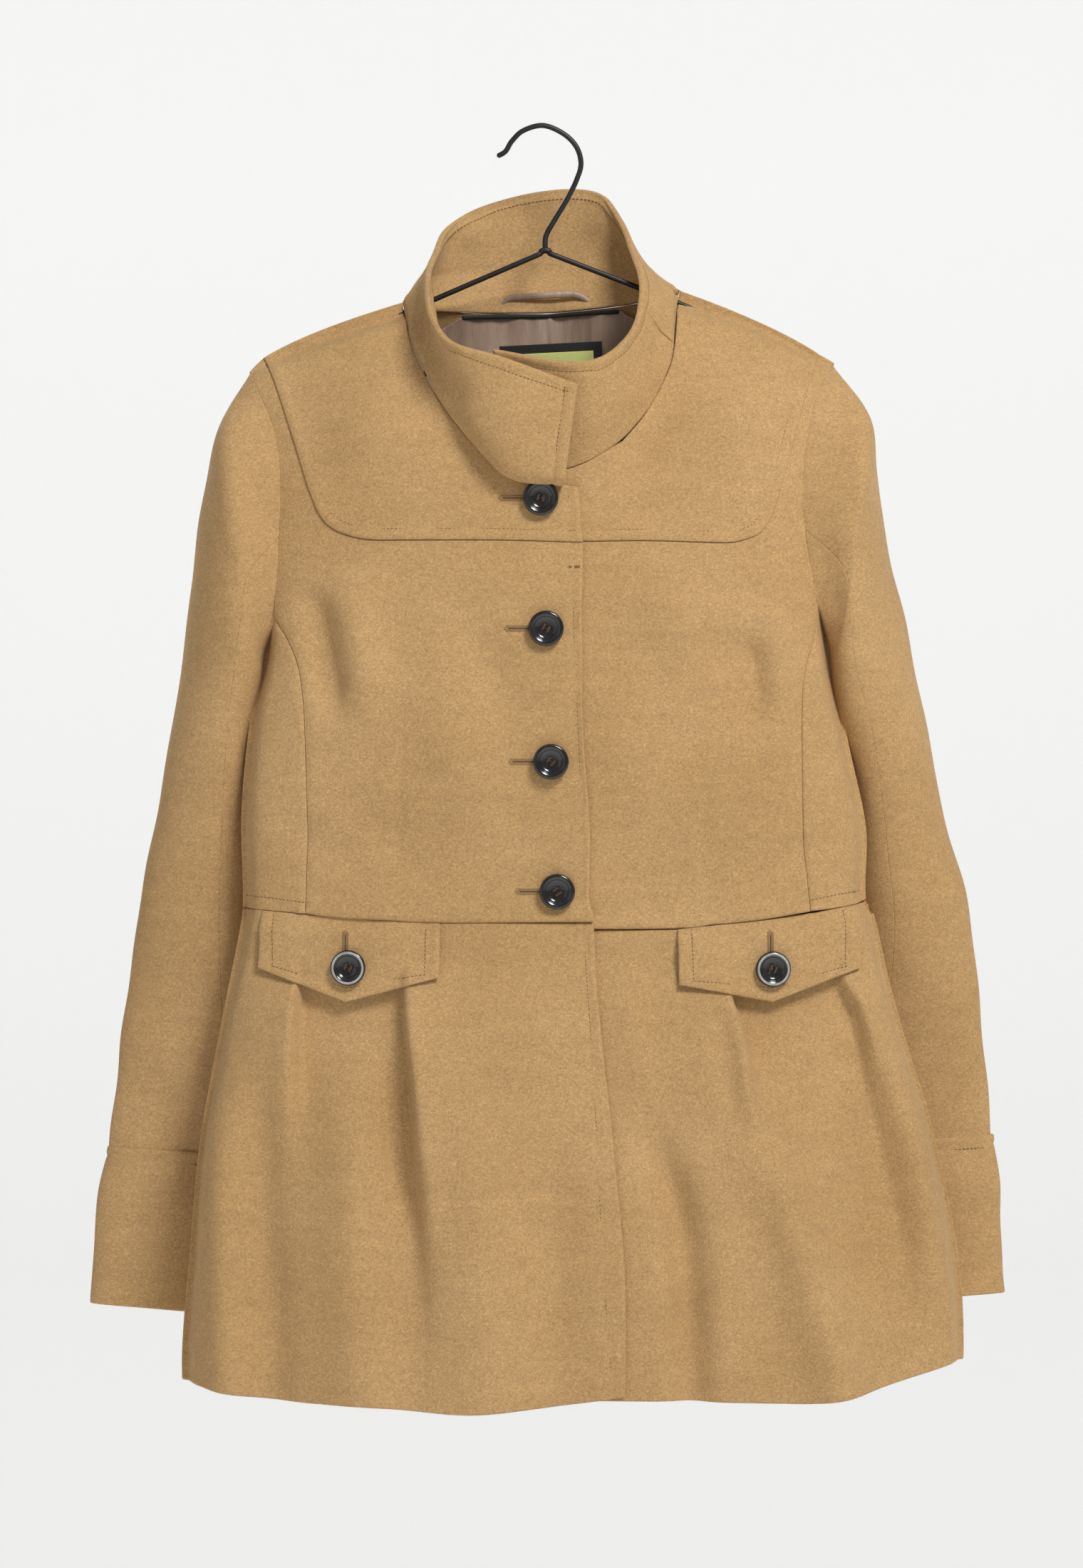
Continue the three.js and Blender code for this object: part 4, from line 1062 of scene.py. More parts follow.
# Creases as (x, z) lines on the sleeve's front: points, half width, height, fade.
SLEEVE_FOLDS = [
    ([(-198, -190), (-190, -230), (-184, -285)], 8, -2.4, 0.4),
    ([(-208, -200), (-203, -260), (-200, -330)], 12, 1.6, 0.5),
    ([(-232, -300), (-212, -345), (-204, -390)], 12, -1.5, 0.5),
    ([(-262, -520), (-232, -500), (-206, -478)], 14, -1.4, 0.5),
    ([(-276, -600), (-236, -560), (-206, -545)], 18, 1.2, 0.5),
    ([(204, -167), (207, -210), (209, -262)], 9, 2.2, 0.4),
    ([(181, -250), (187, -295), (196, -340)], 8, -2.4, 0.4),
    ([(240, -300), (226, -350), (220, -400)], 12, -1.6, 0.5),
    ([(276, -500), (244, -486), (220, -470)], 14, -1.4, 0.5),
    ([(290, -590), (256, -560), (222, -548)], 18, 1.3, 0.5),
]


def ring_points(ring, turns, shrink=0.0):
    """Points round a ring of the sleeve, drawn in by shrink."""
    outer_x, outer_z, inner_x, inner_z, y, depth = ring
    half = np.array([outer_x - inner_x, 0, outer_z - inner_z]) / 2
    reach = np.linalg.norm(half)
    middle = np.array([(outer_x + inner_x) / 2, y, (outer_z + inner_z) / 2])
    points = middle + half * ((reach - shrink) / reach) * np.cos(turns)[:, None]
    points[:, 1] -= (depth - shrink) * np.sin(turns)
    return points


def armhole_points(armhole, outward, turns):
    """The sleeve head's first row: along the armhole on the body's front and back faces."""
    turns = np.mod(turns, 2 * math.pi)
    share = np.where(turns <= math.pi, turns / math.pi, 2 - turns / math.pi)
    at = armhole(share)
    front = body_point(-1, turn_at(at[:, 0], at[:, 1]), at[:, 1])[:, 1]
    rear = body_point(1, turn_at(at[:, 0], at[:, 1]), at[:, 1])[:, 1]
    y = np.where(turns <= math.pi, front, rear)
    return np.stack([at[:, 0] - outward * SLEEVE_TUCK, y, at[:, 1]], axis=1)


def even_rows(rows, count):
    """Rows of points joined by smooth curves down the sleeve, resampled to count evenly spaced rows."""
    dense = spline(np.stack(rows), np.linspace(0, 1, 30 * len(rows)))
    run = run_along(dense[:, dense.shape[1] // 2])
    close = np.array([0, 0.4, 0.9, 1.6, 2.6])
    wanted = np.concatenate([close, np.linspace(4, run[-1] - 4, count), run[-1] - close[::-1]])
    index = np.interp(wanted, run, np.arange(len(run)))
    low = np.minimum(index.astype(int), len(dense) - 2)
    share = (index - low)[:, None, None]
    return dense[low] * (1 - share) + dense[low + 1] * share


def sleeve_relief(grid, seed):
    """Creases on the side facing forward, and a slow unevenness all round."""
    x, y, z = grid[..., 0], grid[..., 1], grid[..., 2]
    forward = smoothstep(-(y - y.mean(axis=1, keepdims=True)), -6, 10)
    return fold_relief(SLEEVE_FOLDS, x, z) * forward + drift(x + y * 0.6, z, seed, 80, 0.8)


def sleeve_turns(from_turn, to_turn, pitch):
    """Angles round a sleeve's piece, closer together at its seams."""
    close = np.array([0, 0.012, 0.028, 0.05, 0.08])
    count = int((to_turn - from_turn) / pitch)
    inner = np.linspace(from_turn + 0.12, to_turn - 0.12, count)
    return np.concatenate([from_turn + close, inner, to_turn - close[::-1]])


def cuff_rings(rings, end, outward):
    """Rings of the cuff: a little wider than the sleeve's last ring, which its upper edge laps over."""
    last = rings[-1]

    def grown(ring, down, swell):
        ox, oz, ix, iz, y, depth = ring
        return (ox + outward * swell, oz - down, ix - outward * swell, iz - down, y, depth + swell)

    middle = list(grown(last, 34, 2.4))
    middle[0] = (last[0] + 2 * end[0]) / 3
    return [grown(last, -3.5, 1.6), grown(last, 2, 1.8), tuple(middle), end]


def sleeve_cloth(side, rings, armhole_line, outward, seed, blend):
    """A sleeve's two pieces: the upper one round the outside and the under one against the body."""
    armhole = rail(armhole_line)
    away = np.array([outward, 0, 0.3])
    for part, first, last, pitch, lead in (
            ("upper", -SLEEVE_SEAM, SLEEVE_SEAM, 0.032, away),
            ("under", SLEEVE_SEAM, 2 * math.pi - SLEEVE_SEAM, 0.05, -away)):
        turns = sleeve_turns(first, last, pitch)
        rows = [armhole_points(armhole, outward, turns)] + [ring_points(ring, turns) for ring in rings]
        grid = even_rows(rows, 150)
        piece = sheet_mesh(f"{side}_sleeve_{part}_cloth", grid, CAMEL, lead,
                           lift=sleeve_relief(grid, seed) * 0.9, roll=(SEAM, 0.4, 0.15, 0.15))
        dress(piece, f"{side}_sleeve", "shell_cloth", f"{side}_sleeve_{part}", blend=blend)


def cuff(side, rings, outward, seed):
    """A sleeve's cuff, and the stitches round its upper edge."""
    turns = np.linspace(0, 2 * math.pi, CUFF_SEGMENTS, endpoint=False)
    grid = even_rows([ring_points(ring, turns) for ring in rings], 46)
    top_gap, _ = runs(grid, 0)
    lift = stitched(top_gap, CUFF_STITCH_INSET) + drift(grid[..., 0], grid[..., 2], seed, 60, 0.6)
    cloth = sheet_mesh(f"{side}_cuff_cloth", grid, CAMEL, np.array([-outward, 0, 0]), CUFF_CLOTH, lift,
                       (FREE, 1.3, 0, 0), wrap=True)
    dress(cloth, f"{side}_sleeve", "shell_cloth", f"{side}_cuff")
    line = grid[np.searchsorted(top_gap[:, 0], CUFF_STITCH_INSET)]
    normal = np.cross(np.roll(line, -1, 0) - np.roll(line, 1, 0), grid[12] - grid[8])
    normal *= np.sign((normal * (line - line.mean(axis=0))).sum(axis=1, keepdims=True))
    normal /= np.linalg.norm(normal, axis=1, keepdims=True)
    centres, along = stitch_places(np.concatenate([line, line[:1]]))
    normal = normal[nearest_places(centres, line)]
    stitches = beads(f"{side}_cuff_stitches", centres - normal * 0.35, along, normal, SEAM_YARN)
    dress(stitches, f"{side}_sleeve", "thread")


def sleeve_lining(side, rings, outward, blend):
    """The satin tube inside a sleeve, down into its cuff."""
    turns = np.linspace(0, 2 * math.pi, SLEEVE_LINING_SEGMENTS, endpoint=False)
    drops = [SLEEVE_LINING_DROP] * (len(rings) - 1) + [5.2]
    grid = even_rows([ring_points(ring, turns, drop) for ring, drop in zip(rings, drops)], 80)
    folds = 0.9 * np.sin(turns * 9 + 1.3) + 0.5 * np.sin(turns * 17)
    lining = sheet_mesh(f"{side}_sleeve_satin", grid, SATIN, np.array([-outward, 0, 0]), LINING_CLOTH,
                        folds * 0.5, (0.35, 0.35, 0, 0), wrap=True)
    dress(lining, f"{side}_sleeve", "lining", f"{side}_sleeve_lining", blend=blend)


# Each: the sleeve's rings, its cuff's end, its armhole, the way outwards, and the seed of its unevenness.
SLEEVES = {
    "right": (RIGHT_RINGS, RIGHT_CUFF_END, RIGHT_ARMHOLE + [RIGHT_UNDERARM], -1, 21),
    "left": (LEFT_RINGS, LEFT_CUFF_END, LEFT_ARMHOLE + [LEFT_UNDERARM], 1, 31),
}
# How far outside and below the underarm a sleeve's blend starts and ends.
SLEEVE_BLEND = {"start": (2, 1), "end": (78, 29)}
for side, (rings, cuff_end, armhole_line, outward_x, seed) in SLEEVES.items():
    x, z = armhole_line[-1]
    blend = {key: ((x + outward_x * out) * MM, 0, (z - down) * MM)
             for key, (out, down) in SLEEVE_BLEND.items()}
    end_rings = cuff_rings(rings, cuff_end, outward_x)
    sleeve_cloth(side, rings, armhole_line, outward_x, seed, blend)
    cuff(side, end_rings, outward_x, seed + 1)
    sleeve_lining(side, rings[2:] + [end_rings[2]], outward_x, blend)

# ---- collar ----
# Neck seam, fullest point of the stand and top edge, from the over end round to the under end.
COLLAR_STATIONS = [
    [(14, -60, -234), (15, -75, -228), (22.6, -76, -173)],
    [(-28, -58, -224), (-26, -73, -221), (-25, -81, -156.5)],
    [(-62, -46, -187), (-54, -61, -184), (-63, -73, -143.5)],
    [(-85, -23, -143), (-72, -38, -136), (-77, -48, -114)],
    [(-91, 4, -111), (-80, -4, -100), (-73, -8, -84)],
    [(-60, 34, -113), (-60, 31, -88), (-57, 32, -56)],
    [(0, 41, -116), (-2, 45, -78), (-4, 47, -38)],
    [(55, 34, -109), (48, 38, -78), (42, 38, -41)],
    [(85, 7, -100), (72, 6, -94), (58, 0, -78)],
    [(83, -22, -136), (76, -30, -126), (65, -38, -111)],
    [(71, -40, -179), (64, -50, -165), (55, -60, -142)],
    [(38, -53, -213), (32, -62, -194), (25, -71, -158.5)],
    [(-24, -54, -224), (-24, -61, -196), (-33, -66, -150)]]
COLLAR_CLOTH = 3.8
COLLAR_SPLIT_RIGHT = 3.16
COLLAR_SPLIT_LEFT = 9.2
COLLAR_HEIGHT = 66
COLLAR_ROWS = 44
COLLAR_STITCH_INSET = 7.0
COLLAR_END_INSET = 8.0
OVER_LEAD = np.array([-1, -1, 0.0])
UNDER_LEAD = np.array([1, -1, 0.0])
COLLAR_OVERHANG = 1.6
# Soft dents of the stand: x, y, z, half width, depth.
COLLAR_DENTS = [(-47, 34, -66, 13, 3.0), (42, 38, -62, 14, 3.0), (-52, -60, -176, 14, 1.4),
                (5, 46, -84, 16, -1.4), (60, -46, -150, 14, 1.2), (-72, -32, -124, 10, 1.2)]


def collar_grid(first, last, columns):
    """The stand's points between two stations, from the neck seam up to the top edge."""
    lines = np.asarray(COLLAR_STATIONS, float)
    close = np.array([0, 0.006, 0.013, 0.022, 0.034])
    inner = np.linspace(first + 0.06, last - 0.06, columns)
    stations = np.concatenate([first + close, inner, last - close[::-1]])
    rows = [spline(lines[:, k], stations / (len(lines) - 1)) for k in range(3)]
    return spline(np.stack(rows), places(COLLAR_HEIGHT, COLLAR_HEIGHT / COLLAR_ROWS))


def neck_line(side, path, relief):
    """The neck seam, a little way into the body's cloth."""
    points, normal = surface(side, path[:, 0], path[:, 1], relief)
    return points - normal * 0.8


def smoothed(line, reach):
    """A line of 3-D points, each the average of its neighbours within reach."""
    kernel = np.ones(2 * reach + 1) / (2 * reach + 1)
    columns = [np.convolve(np.pad(line[:, k], reach, mode="edge"), kernel, "valid") for k in range(3)]
    return np.stack(columns, axis=1)


def meet_neck(grid, neck):
    """Brings the foot of the stand onto the neck seam, fading out over the lower third."""
    shift = smoothed(neck[nearest_places(grid[0], neck)] - grid[0], 7)
    up, _ = runs(grid, 0)
    weight = 1 - smoothstep(up / up[-1:], 0, 0.38)
    return grid + shift[None] * weight[..., None]


right_neck_line = neck_line(-1, joined(RIGHT_NECK), [front_lie])
left_neck_line = neck_line(-1, joined(LEFT_NECK), [front_lie, under])
back_neck_line = np.concatenate([neck_line(1, even(cut[1], 60), [back_relief]) for cut in BACKS.values()])


def dents(grid):
    """The collar's soft dents."""
    total = np.zeros(grid.shape[:2])
    for x, y, z, width, depth in COLLAR_DENTS:
        gap2 = ((grid - np.array([x, y, z])) ** 2).sum(axis=-1)
        total -= depth * np.exp(-gap2 / width**2)
    return total


def collar_piece(name, first, last, columns, lead, neck, over_end=False, under_end=False):
    """A piece of the collar between two stations, with the grid and the lift that its stitches follow."""
    grid = meet_neck(collar_grid(first, last, columns), neck)
    up, down = runs(grid, 0)
    slow = drift(grid[..., 0] + grid[..., 1], grid[..., 2], 41, 50, 0.5)
    lift = stitched(down, COLLAR_STITCH_INSET) * 0.9 + dents(grid) + slow
    if not under_end:
        lift = lift + COLLAR_OVERHANG * smoothstep(up, 0, 6) * (1 - smoothstep(up, 11, 40))
    roll = [0.8, COLLAR_CLOTH / 2, FLUSH, FLUSH]
    if over_end:
        along, _ = runs(grid, 1)
        lift = lift + stitched(along, COLLAR_END_INSET) * 0.9
        roll[2] = COLLAR_CLOTH / 2
    if under_end:
        roll[3] = COLLAR_CLOTH / 2
    piece = sheet_mesh(name, grid, SHADED_COLLAR_CAMEL, lead, COLLAR_CLOTH, lift, tuple(roll))
    return piece, grid, lift


over_end, over_grid, over_lift = collar_piece(
    "collar_over_end", 0, COLLAR_SPLIT_RIGHT, 150, OVER_LEAD, right_neck_line, over_end=True)
back_stand, back_grid, back_lift = collar_piece(
    "collar_back_stand", COLLAR_SPLIT_RIGHT, COLLAR_SPLIT_LEFT, 230, BACK,
    np.concatenate([right_neck_line, back_neck_line, left_neck_line]))
under_end, under_grid, under_lift = collar_piece(
    "collar_under_end", COLLAR_SPLIT_LEFT, 12, 120, UNDER_LEAD, left_neck_line, under_end=True)
dress(back_stand, "coat", "collar_cloth", "collar_back")
dress(under_end, "coat", "collar_cloth", "collar_left_end")
dress(over_end, "collar_end", "collar_cloth", "collar_right_end", blend=COLLAR_BLEND)


def collar_face(grid, lift, lead, outside=True):
    """The collar's outer or inner face and its outward normals."""
    normal = facing(normals_of(grid), lead)
    offset = lift if outside else lift - COLLAR_CLOTH
    return grid + normal * offset[..., None], normal * (1 if outside else -1)


def below_top(grid):
    """Where a line of stitches runs along the collar's top edge, in the grid's rows and columns."""
    _, down = runs(grid, 0)
    return np.abs(down - COLLAR_STITCH_INSET).argmin(axis=0), np.arange(grid.shape[1])


def beside_end(grid):
    """Where a line of stitches runs beside the collar's free end, in the grid's rows and columns."""
    along, _ = runs(grid, 1)
    return np.arange(grid.shape[0]), np.abs(along - COLLAR_END_INSET).argmin(axis=1)


def collar_stitches(name, face, normals, take):
    line = smoothed(face[take], 4)
    centres, along = stitch_places(line)
    return beads(name, centres, along, normals[take][nearest_places(centres, line)], SEAM_YARN)


over_face = collar_face(over_grid, over_lift, OVER_LEAD)
for name, take in (("over_end_top_stitches", below_top(over_grid)),
                   ("over_end_edge_stitches", beside_end(over_grid))):
    dress(collar_stitches(name, *over_face, take), "collar_end", "thread", blend=COLLAR_BLEND)
for name, grid, face in (
        ("collar_back_outer_stitches", back_grid, collar_face(back_grid, back_lift, BACK)),
        ("collar_back_inner_stitches", back_grid, collar_face(back_grid, back_lift, BACK, outside=False)),
        ("collar_under_stitches", under_grid, collar_face(under_grid, under_lift, UNDER_LEAD))):
    dress(collar_stitches(name, *face, below_top(grid)), "coat", "thread")

# ---- pocket flaps ----
FLAP_CLOTH = 2.4
FLAP_STITCH_INSET = 7.2
FLAPS = {
    "right": {"top": [(-184, -514.5), (-126, -519.5), (-67, -522.5)],
              "tip": [(-184.6, -552.3), (-128, -574.2), (-67.3, -558.2)],
              "button": (-126.5, -56.858, -551.5), "lean": -0.13745, "hole_x": -128.0,
              "skirt": right_skirt_relief},
    "left": {"top": [(87.4, -526.5), (149, -520), (204, -511.5)],
             "tip": [(88.2, -563), (149, -574.2), (205.4, -552.3)],
             "button": (149.3, -56.676, -552.3), "lean": 0.14025, "hole_x": 147.4,
             "skirt": [skirt_relief, hem_fold(under_hem_z)]},
}


def flap_relief(flap, edge):
    """How a flap lies over the skirt: it stands clear of the cloth below and is stitched round its edge."""
    def rise(x, z):
        from_top = distance_to(flap["top"], x, z)[0]
        ride = np.maximum(at_each(flap["skirt"], x, z), 0) * 0.8
        return 0.3 + (FLAP_LIFT + ride) * smoothstep(from_top, 0, 13)

    def edge_stitch(x, z):
        return stitched(distance_to(edge, x, z)[0], FLAP_STITCH_INSET)

    return [rise, edge_stitch, lambda x, z: drift(x, z, 51, 40, 0.35)]


def flap_stitch_path(edge):
    """The line of stitches inside a flap's outline, up to the seam at each end."""
    centre = edge.mean(axis=0)
    inset = np.array([point + (centre - point) / np.linalg.norm(centre - point) * 9.6 for point in edge])
    inset[0, 1] = edge[0, 1] - 1
    inset[-1, 1] = edge[-1, 1] - 1
    return np.concatenate([np.linspace(inset[k], inset[k + 1], 40) for k in range(len(inset) - 1)])


def flap_parts(side, flap):
    """A pocket flap and its stitching: sewn under the waist seam, coming to a point below."""
    top, tip = flap["top"], flap["tip"]
    edge = np.array([top[0], *tip, top[2]], float)
    relief = flap_relief(flap, edge)
    grid = body_grid(-1, rail(top[:2], top[1:]), rail(tip[:2], tip[1:]), 2.6)
    cloth = sheet_mesh(f"{side}_flap_cloth", grid, CAMEL, FRONT, FLAP_CLOTH, lift_of(relief, grid),
                       (0.5, 1.2, 1.2, 1.2))
    stitches = surface_stitches(f"{side}_flap_stitches", flap_stitch_path(edge), relief)
    dress(cloth, f"{side}_flap", "shell_cloth", f"{side}_pocket_flap", blend=FLAP_BLEND)
    dress(stitches, f"{side}_flap", "thread", blend=FLAP_BLEND)
    return relief


flap_reliefs = {side: flap_parts(side, flap) for side, flap in FLAPS.items()}

# ---- buttons ----
BUTTON_SEGMENTS = 96
# The crest of a button's rim, where a pale ring of painted highlight goes: its radii, and how far it stands
# forward of the button's back.
HIGHLIGHT_RIM = (9.3, 10.3)
HIGHLIGHT_HEIGHT = 3.6
SHANK_RADIUS = 1.7
SHANK_SIDES = 20
SHANK_STEPS = 9
# Radius and height above the back, from the middle of the dished face over the rim to the back.
BUTTON_OUTLINE = [
    (0, 1.7), (2.0, 1.72), (4.0, 1.85), (5.6, 2.15), (6.7, 2.7), (7.3, 3.3), (7.6, 3.5), (7.85, 3.42),
    (8.1, 3.4), (8.5, 3.75), (9.2, 4.08), (9.9, 4.2), (10.6, 4.05), (11.15, 3.6), (11.5, 2.9), (11.6, 2.2),
    (11.45, 1.4), (11.0, 0.7), (10.0, 0.2), (8.0, 0.0), (4.0, 0.0), (0, 0.0)]
HOLE_REACH = 1.77
HOLE_RADIUS = 1.05


def lathe(name, outline, segments, material):
    """A closed turned form about y, from (radius, height) points that start and end on its axis."""
    vertices, faces = [(0, -outline[0][1], 0)], []
    for radius, height in outline[1:-1]:
        for k in range(segments):
            turn = 2 * math.pi * k / segments
            vertices.append((radius * math.cos(turn), -height, radius * math.sin(turn)))
    vertices.append((0, -outline[-1][1], 0))
    rings = len(outline) - 2

    def at(ring, k):
        return 1 + ring * segments + k % segments

    for k in range(segments):
        faces.append((0, at(0, k), at(0, k + 1)))
        faces.append((len(vertices) - 1, at(rings - 1, k + 1), at(rings - 1, k)))
        for ring in range(rings - 1):
            faces.append((at(ring, k), at(ring + 1, k), at(ring + 1, k + 1), at(ring, k + 1)))
    return link(name, vertices, faces, material)


def cut_away(obj, cutters):
    """Cuts closed meshes out of obj, and deletes the cutters."""
    for cutter in cutters:
        tool = obj.modifiers.new("cut", "BOOLEAN")
        tool.object, tool.operation, tool.solver = cutter, "DIFFERENCE", "EXACT"
    bpy.context.view_layer.update()
    result = bpy.data.meshes.new_from_object(obj.evaluated_get(bpy.context.evaluated_depsgraph_get()))
    obj.modifiers.clear()
    obj.data = result
    for cutter in cutters:
        bpy.data.objects.remove(cutter, do_unlink=True)


button_form = lathe("button_form", BUTTON_OUTLINE, BUTTON_SEGMENTS, HORN)
holes = []
for dx, dz in ((1, 1), (1, -1), (-1, 1), (-1, -1)):
    hole = lathe("hole", [(0, 6), (HOLE_RADIUS, 6), (HOLE_RADIUS, -2), (0, -2)], 24, HORN)
    hole.data.transform(Matrix.Translation((dx * HOLE_REACH * MM, 0, dz * HOLE_REACH * MM)))
    holes.append(hole)
cut_away(button_form, holes)
button_mesh = button_form.data
bpy.data.objects.remove(button_form, do_unlink=True)


def paint_rim_highlight(mesh):
    """Gives the crest of a button's rim a paler horn: a painted highlight ring."""
    mesh.materials.append(RIM_HIGHLIGHT_HORN)
    for face in mesh.polygons:
        out = math.hypot(face.center.x, face.center.z) / MM
        if HIGHLIGHT_RIM[0] < out < HIGHLIGHT_RIM[1] and face.center.y < -HIGHLIGHT_HEIGHT * MM:
            face.material_index = 1


def strand_ends():
    """The sewing thread's strands on a button: lengths side by side across each pair of holes."""
    centres, along = [], []
    for column in (-1, 1):
        for strand in (-0.5, -0.17, 0.17, 0.5):
            centres.append((column * HOLE_REACH + strand, -2.35 - 0.15 * math.cos(strand * 3), 0))
            along.append((0.03 * strand, 0, 1.0))
    return np.array(centres), np.array(along)


def rod_faces(rings, sides):
    """The faces of a closed rod whose points go ring by ring."""
    def at(ring, k):
        return ring * sides + k % sides

    faces = [(at(r, k), at(r, k + 1), at(r + 1, k + 1), at(r + 1, k))
             for r in range(rings - 1) for k in range(sides)]
    return faces + [tuple(range(sides))[::-1], tuple(range((rings - 1) * sides, rings * sides))]


def shank(name, place, lean_to):
    """The wound thread between a button and the cloth."""
    turns = np.linspace(0, 2 * math.pi, SHANK_SIDES, endpoint=False)
    x, z = SHANK_RADIUS * np.cos(turns), SHANK_RADIUS * np.sin(turns)
    rings = [np.stack([x, np.full(SHANK_SIDES, depth), z], axis=1) @ lean_to.T
             for depth in np.linspace(0.6, 5.2, SHANK_STEPS)]
    return link(name, np.concatenate(rings) + place, rod_faces(SHANK_STEPS, SHANK_SIDES), BUTTON_YARN)


def place_button(name, place, lean=0.0, turned=0.0, rim_highlight=False):
    """A button, its strands and its shank. lean tips it to lie on the cloth, turned spins it; a flagged
    button gets a painted highlight ring on its rim.
    """
    place = np.array(place)
    cos, sin = math.cos(lean), math.sin(lean)
    lean_to = np.array([[cos, -sin, 0], [sin, cos, 0], [0, 0, 1]])
    cos, sin = math.cos(turned), math.sin(turned)
    turn = lean_to @ np.array([[cos, 0, sin], [0, 1, 0], [-sin, 0, cos]])
    points = np.empty(len(button_mesh.vertices) * 3)
    button_mesh.vertices.foreach_get("co", points)
    mesh = button_mesh.copy()
    if rim_highlight:
        paint_rim_highlight(mesh)
    placed = (points.reshape(-1, 3) / MM) @ turn.T + place
    mesh.vertices.foreach_set("co", (placed * MM).ravel())
    mesh.update()
    button = bpy.data.objects.new(name + "_horn", mesh)
    bpy.context.scene.collection.objects.link(button)
    dress(button, name, "button_horn", name)
    centres, along = strand_ends()
    outwards = np.tile(turn @ FRONT, (len(centres), 1))
    strands = beads(name + "_strands", centres @ turn.T + place, along @ turn.T, outwards, BUTTON_YARN,
                    half_length=2.7, radius=0.24)
    dress(strands, name, "thread", name + "_thread")
    dress(shank(name + "_shank", place, lean_to), name, "thread")


for number, (x, z, y, _) in enumerate(FRONT_BUTTONS, 1):
    place_button(f"front_button_{number}", (x, y, z), turned=0.25 * number)
# The flap buttons carry a painted highlight ring on their rims.
for side, flap in FLAPS.items():
    place_button(f"{side}_flap_button", flap["button"], flap["lean"], 0.4, rim_highlight=True)

# ---- buttonholes ----
HOLE_WIDTH = 4.4
PURL_PITCH = 0.62
BAR_STITCHES = 7
SLIT_HALF = 0.26
SLIT_STEPS = 24


def purl_places(start, end, direction, across):
    """Stitches in pairs down both sides of a buttonhole, and then a bar of longer ones over its end."""
    count = int(np.linalg.norm(end - start) / PURL_PITCH)
    centres, along = [], []
    for k in range(count + 1):
        at = start + (end - start) * k / count
        for hand in (-1, 1):
            centres.append(at + across * hand * HOLE_WIDTH * 0.29)
            along.append(across)
    for k in range(BAR_STITCHES):
        centres.append(end + direction * (0.3 + 0.28 * k) - direction * 1.0)
        along.append(across * 1.9)
    return np.array(centres), np.array(along)


def buttonhole(name, start, end, relief, body, blend=None):
    """A worked buttonhole from (x, z) to (x, z): purled stitches, a bar at its end and a dark sheet of
    painted shade in its slit.
    """
    start, end = np.array(start, float), np.array(end, float)
    direction = (end - start) / np.linalg.norm(end - start)
    across = np.array([-direction[1], direction[0]])
    centres, along = purl_places(start, end, direction, across)
    points, normals = surface(-1, *centres.T, relief)
    ahead, _ = surface(-1, *(centres + along * 0.4).T, relief)
    stitches = beads(name + "_purls", points + normals * 0.05, ahead - points, normals, HOLE_YARN,
                     HOLE_WIDTH * 0.21, 0.3)
    # A dark sheet laid in the slit: painted shade where the opening lies in shadow.
    slit_line = np.stack([start + direction * 1.5 + (end - start - direction * 3) * k / SLIT_STEPS
                          for k in range(SLIT_STEPS + 1)])
    left, normal = surface(-1, *(slit_line + across * SLIT_HALF).T, relief)
    right, _ = surface(-1, *(slit_line - across * SLIT_HALF).T, relief)
    grid = np.stack([left, (left + right) / 2, right]) + normal[None] * 0.1
    slit = sheet_mesh(name + "_slit_shade", grid, PAINTED_SLIT_SHADE, FRONT, 0.5, 0.0, 0.0)
    dress(stitches, body, "thread", blend=blend)
    dress(slit, body, "shell_cloth", blend=blend)


# Painted shade for the buttonhole slits: a dark brown sheet on the woven finish.
PAINTED_SLIT_SHADE = woven("slit_shadow", (40, 28, 18), (62, 44, 28))
for number, (x, z, _, hole_end) in enumerate(FRONT_BUTTONS, 1):
    lie = right_yoke_relief if number == 1 else right_bodice_relief
    buttonhole(f"front_buttonhole_{number}", (x + 1, z), (hole_end, z), lie, "coat")
for side, flap in FLAPS.items():
    buttonhole(f"{side}_flap_buttonhole", (flap["hole_x"], -545), (flap["hole_x"], -528.5),
               flap_reliefs[side], f"{side}_flap", FLAP_BLEND)

# A bar of close stitches holds the placket where its facing ends.
bar = np.array([(17 + 0.6 * k, -291.0) for k in range(12)])
points, normals = surface(-1, *bar.T, [front_lie, placket_edge])
tack = beads("placket_bar_tack", points, np.tile([0, 0, 1.0], (len(bar), 1)), normals, SEAM_YARN, 0.9, 0.32)
dress(tack, "coat", "thread")

# ---- linings ----


CREASE_PITCH = 17.0
CREASE_HEIGHT = 0.8


def creased(seed):
    """Long upright creases of a slack satin lining."""
    def relief(x, z):
        sway = drift(x * 0.3, z, seed, 160, 9.0)
        wide = np.sin((x + sway) / CREASE_PITCH * 2)
        narrow = 0.5 * np.sin((x + sway * 1.7) / CREASE_PITCH * 5.1)
        return CREASE_HEIGHT * (wide + narrow)
    return relief


def set_off(amount):
    """A relief already worked out at the places it is asked for."""
    return lambda x, z: amount


def satin_panel(name, node, side, first, second, drop, pitch, seed, held_seam=None):
    """A lining on the body's form, drop inside its outer face, with a seam held down at one x."""
    grid = body_grid(side, rail(*first), rail(*second), pitch)
    x, z = grid[..., 0], grid[..., 2]
    lift = creased(seed)(x, z) - drop
    if held_seam is not None:
        lift = lift + groove(np.abs(x - held_seam), 1.1, 1.6)
    placed, _ = surface(side, x, z, [set_off(lift)])
    piece = sheet_mesh(name, placed, SATIN, FRONT if side < 0 else BACK, LINING_CLOTH, 0.0, 0.35)
    dress(piece, "coat", "lining", node)


